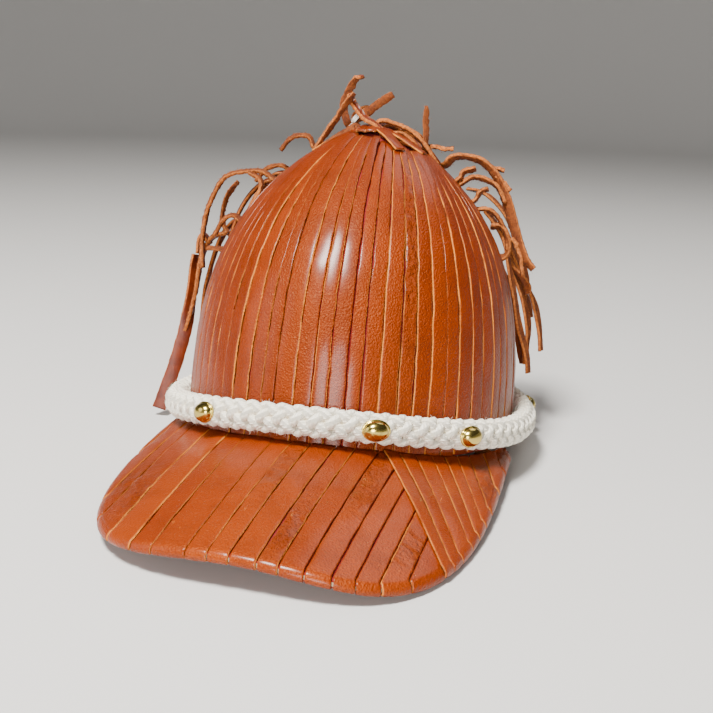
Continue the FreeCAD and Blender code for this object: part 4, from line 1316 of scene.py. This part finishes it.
def fibre_tree():
    g, inputs, end = modifier_tree("Fibres", (
        ("Fibre", "NodeSocketObject"), ("Density", "NodeSocketFloat"), ("Everywhere", "NodeSocketFloat"),
        ("Seed", "NodeSocketInt"), ("Finish", "NodeSocketMaterial")))
    raw = g.add("GeometryNodeInputNamedAttribute", {"data_type": "FLOAT"}, {"Name": "back"}, 0)
    chosen = g.add("ShaderNodeMath", {"operation": "GREATER_THAN"}, {0: raw + inputs["Everywhere"], 1: 0.5})
    spots = g.add("GeometryNodeDistributePointsOnFaces", {}, {
        "Mesh": inputs["Geometry"], "Selection": chosen, "Density": inputs["Density"],
        "Seed": inputs["Seed"]})
    upright = Signal(g, spots.socket.node.outputs["Rotation"])
    lean = g.add("FunctionNodeRandomValue", {"data_type": "FLOAT_VECTOR"},
                 {"Min": (-1.2, -1.2, 0.0), "Max": (1.2, 1.2, 6.3), "Seed": inputs["Seed"]}, 0)
    turned = g.add("FunctionNodeRotateRotation", {"rotation_space": "LOCAL"},
                   {"Rotation": upright, "Rotate By": lean})
    size = g.add("FunctionNodeRandomValue", {"data_type": "FLOAT"},
                 {2: 0.4, 3: 1.5, "Seed": inputs["Seed"]}, 1)
    fibre = g.add("GeometryNodeObjectInfo", {}, {"Object": inputs["Fibre"]}, "Geometry")
    hairs = g.add("GeometryNodeInstanceOnPoints", {}, {"Points": spots, "Instance": fibre, "Rotation": turned,
                                                       "Scale": size})
    real = g.add("GeometryNodeRealizeInstances", {}, {"Geometry": hairs})
    done = g.add("GeometryNodeSetMaterial", {}, {"Geometry": real, "Material": inputs["Finish"]})
    g.tree.links.new(done.socket, end.inputs[0])
    return g.tree


class CAP_OT_fuzz(bpy.types.Operator):
    """Raise short loose fibres on the rope and on the raw side of the fringe"""
    bl_idname = "cap.fuzz"
    bl_label = "Loose fibres"

    def execute(self, context):
        s = context.scene.cap.fuzz
        steps = np.linspace(0, 1, 4)
        line = np.column_stack([0.3 * steps ** 2, 0.12 * steps ** 2, steps * 0.95]) * s.length * MM
        points, faces = tube(line, np.interp(steps, [0, 1], [0.055, 0.02]) * MM, 3)
        mesh = bpy.data.meshes.new("fibre_shape")
        mesh.from_pydata(points.tolist(), [], faces)
        for key, value in (("back", 1.0), ("rim", 0.6), ("depth", 1.0)):
            mesh.attributes.new(key, "FLOAT", "POINT").data.foreach_set("value", np.full(len(points), value))
        shape = bpy.data.objects.new("fibre_shape", mesh)
        context.collection.objects.link(shape)
        tree = fibre_tree()
        for source, slot, density, everywhere in (
                ("cotton_rope_band", "cotton_rope", s.rope_density, 1.0),
                ("leather_fringe_top", "fringe_leather", s.suede_density, 0.0),
                ("leather_fringe_left", "fringe_leather", s.suede_density, 0.0),
                ("leather_fringe_right", "fringe_leather", s.suede_density, 0.0)):
            fuzz = grown(source + "_fibres", bpy.data.objects[source].data.copy(), tree, {
                "Fibre": shape, "Density": density, "Everywhere": everywhere, "Seed": s.seed,
                "Finish": finish_of(slot)})
            fit_out(fuzz, slot)
        bpy.data.objects.remove(shape)
        return {"FINISHED"}


class CAP_OT_ties(bpy.types.Operator):
    """Tie the top ends with thread and close the crown's top"""
    bl_idname = "cap.ties"
    bl_label = "Thread tie and top"

    def execute(self, context):
        rng = random.Random(4)
        tie = np.array([-9.5, 15.0, 171.0])
        lean = np.array([math.sin(math.radians(-50)), 0, math.cos(math.radians(-50))])
        first = unit(np.cross(lean, (0, 1, 0)))
        second = np.cross(lean, first)
        loops = []
        for k in range(3):
            turns = np.linspace(0, 2 * math.pi, 40, endpoint=False)
            middle = tie + lean * (k - 1) * 0.9
            ring = [middle + first * math.cos(t) * 4.2 + second * math.sin(t) * 3.6 for t in turns]
            loops.append(tube(ring, 0.5, 6, closed=True))
        for k in range(3):
            start = tie + first * 3.8
            end = start + np.array([rng.uniform(-3, 3), -3 + rng.uniform(-2, 2), rng.uniform(-7, -4)])
            bend = (start + end) / 2 + np.array([rng.uniform(-2, 2), -2, rng.uniform(-1, 2)])
            loops.append(tube(smooth_line((start, bend, end), 10), np.linspace(0.45, 0.3, 10), 6))
        points, faces = joined(loops)
        fit_out(solid("white_thread_tie", points, faces, finish_of("white_thread")), "white_thread",
                nodes=("thread_tie",))
        part = Leather()
        for k in range(14):
            turn = 2 * math.pi * (k + rng.uniform(-0.3, 0.3)) / 14
            out = np.array([math.cos(turn), math.sin(turn)])
            reach = 15 if out[1] < -0.25 and out[0] < 0.4 else 34
            line = []
            for share in (-0.1, 0.25, 0.6, 1.0):
                plan = out * reach * share
                high = float(dome_height(np.hypot(plan[0] / HALF_WIDTH, plan[1] / HALF_LENGTH)))
                line.append((plan[0], plan[1] + LEAN * high, high + 1.6 + 0.12 * k))
            ribbon(part, rng, line, (out[1], -out[0], 0), 8.5, 1.2, (0, 0), (0.7, 0.7), 0.3, 0.1)
        fit_out(part.build("crown_top_cover", finish_of("crown_leather")), "crown_leather",
                nodes=("crown_button",))
        return {"FINISHED"}


class CAP_OT_stage(bpy.types.Operator):
    """Set the camera, the soft lights and a plain pale floor"""
    bl_idname = "cap.stage"
    bl_label = "Stage"

    def execute(self, context):
        s = context.scene.cap.stage
        scene = context.scene
        az, el, roll = (math.radians(v) for v in (s.azimuth, s.elevation, s.roll))
        back = Vector((math.sin(az) * math.cos(el), -math.cos(az) * math.cos(el), math.sin(el)))
        right = Vector((0, 0, 1)).cross(back).normalized()
        up = back.cross(right)
        across = right * math.cos(roll) + up * math.sin(roll)
        upward = -right * math.sin(roll) + up * math.cos(roll)
        turn = PLACE.to_3x3().normalized()
        axes = Matrix((turn @ across, turn @ upward, turn @ back)).transposed().to_4x4()
        eye = PLACE @ (Vector((0, -20, 50)) + back * s.distance)
        lens = bpy.data.cameras.new("camera")
        lens.lens, lens.sensor_width = s.lens, 36
        lens.shift_x, lens.shift_y = s.shift
        camera = bpy.data.objects.new("camera", lens)
        camera.matrix_world = Matrix.Translation(eye) @ axes
        context.collection.objects.link(camera)
        scene.camera = camera
        self.light("key", (-0.25, -0.72, 1.5), 0.42, 80, (1.0, 0.97, 0.92))
        self.light("front", (0.1, -1.7, 0.42), 0.7, 27, (1.0, 0.97, 0.93))
        self.light("side", (-1.3, -0.7, 0.6), 1.0, 6, (1.0, 0.97, 0.94))
        self.light("over", (0.3, 0.9, 1.2), 0.8, 4, (1.0, 0.98, 0.95))
        world = bpy.data.worlds.new("room")
        world.use_nodes = True
        world.node_tree.nodes["Background"].inputs["Color"].default_value = (0.85, 0.84, 0.83, 1)
        world.node_tree.nodes["Background"].inputs["Strength"].default_value = 0.09
        scene.world = world
        mesh = bpy.data.meshes.new("floor")
        side = [(0.02, 0.0), (1.0, 0.0), (2.6, 0.0)]
        side += [(2.6 + 1.4 * math.sin(t), 1.4 - 1.4 * math.cos(t))
                 for t in np.linspace(0.1, math.pi / 2, 16)]
        around = 64
        turns = [2 * math.pi * k / around for k in range(around)]
        points = [(r * math.cos(t), r * math.sin(t), z) for r, z in side for t in turns]
        rings = [(i * around + k, i * around + (k + 1) % around, (i + 1) * around + (k + 1) % around,
                  (i + 1) * around + k) for i in range(len(side) - 1) for k in range(around)]
        mesh.from_pydata(points, [], [tuple(range(around))] + [ring[::-1] for ring in rings])
        mesh.shade_smooth()
        mesh.materials.append(material("floor", lambda g: {}, **{"Base Color": (0.62, 0.61, 0.60, 1),
                                                                 "Roughness": 0.9}))
        floor = bpy.data.objects.new("floor", mesh)
        context.collection.objects.link(floor)
        return {"FINISHED"}

    def light(self, name, place, size, power, colour):
        data = bpy.data.lights.new(name, "AREA")
        data.shape, data.size, data.energy, data.color = "DISK", size, power, colour
        lamp = bpy.data.objects.new(name, data)
        aim = Vector((0, -0.03, 0.09)) - Vector(place)
        lamp.rotation_euler = aim.to_track_quat("-Z", "Y").to_euler()
        lamp.location = place
        bpy.context.collection.objects.link(lamp)


class VIEW3D_PT_cap(bpy.types.Panel):
    """Settings and steps of the strip leather cap"""
    bl_label = "Strip leather cap"
    bl_space_type = "VIEW_3D"
    bl_region_type = "UI"
    bl_category = "Strip leather cap"

    def draw(self, context):
        for label, group in (("Crown", "crown"), ("Brim", "brim"), ("Rope", "rope"), ("Fringe", "fringe"),
                             ("Fibres", "fuzz"), ("Stage", "stage")):
            box = self.layout.box()
            box.label(text=label)
            settings = getattr(context.scene.cap, group)
            for key in settings.bl_rna.properties.keys():
                if key not in ("name", "rna_type"):
                    box.prop(settings, key)
        for step in STEPS:
            self.layout.operator("cap." + step)


STEPS = ("stage", "finishes", "crown", "brim", "rope", "studs", "fringe", "fuzz", "ties")
CLASSES = (CrownSettings, BrimSettings, RopeSettings, FringeSettings, FuzzSettings, StageSettings,
           CapSettings, CAP_OT_finishes, CAP_OT_crown, CAP_OT_brim, CAP_OT_rope, CAP_OT_studs,
           CAP_OT_fringe, CAP_OT_fuzz, CAP_OT_ties, CAP_OT_stage, VIEW3D_PT_cap)


def register():
    for cls in CLASSES:
        bpy.utils.register_class(cls)
    bpy.types.Scene.cap = PointerProperty(type=CapSettings)


def unregister():
    del bpy.types.Scene.cap
    for cls in reversed(CLASSES):
        bpy.utils.unregister_class(cls)


def main():
    register()
    for step in STEPS:
        getattr(bpy.ops.cap, step)()


if __name__ == "__main__":
    main()
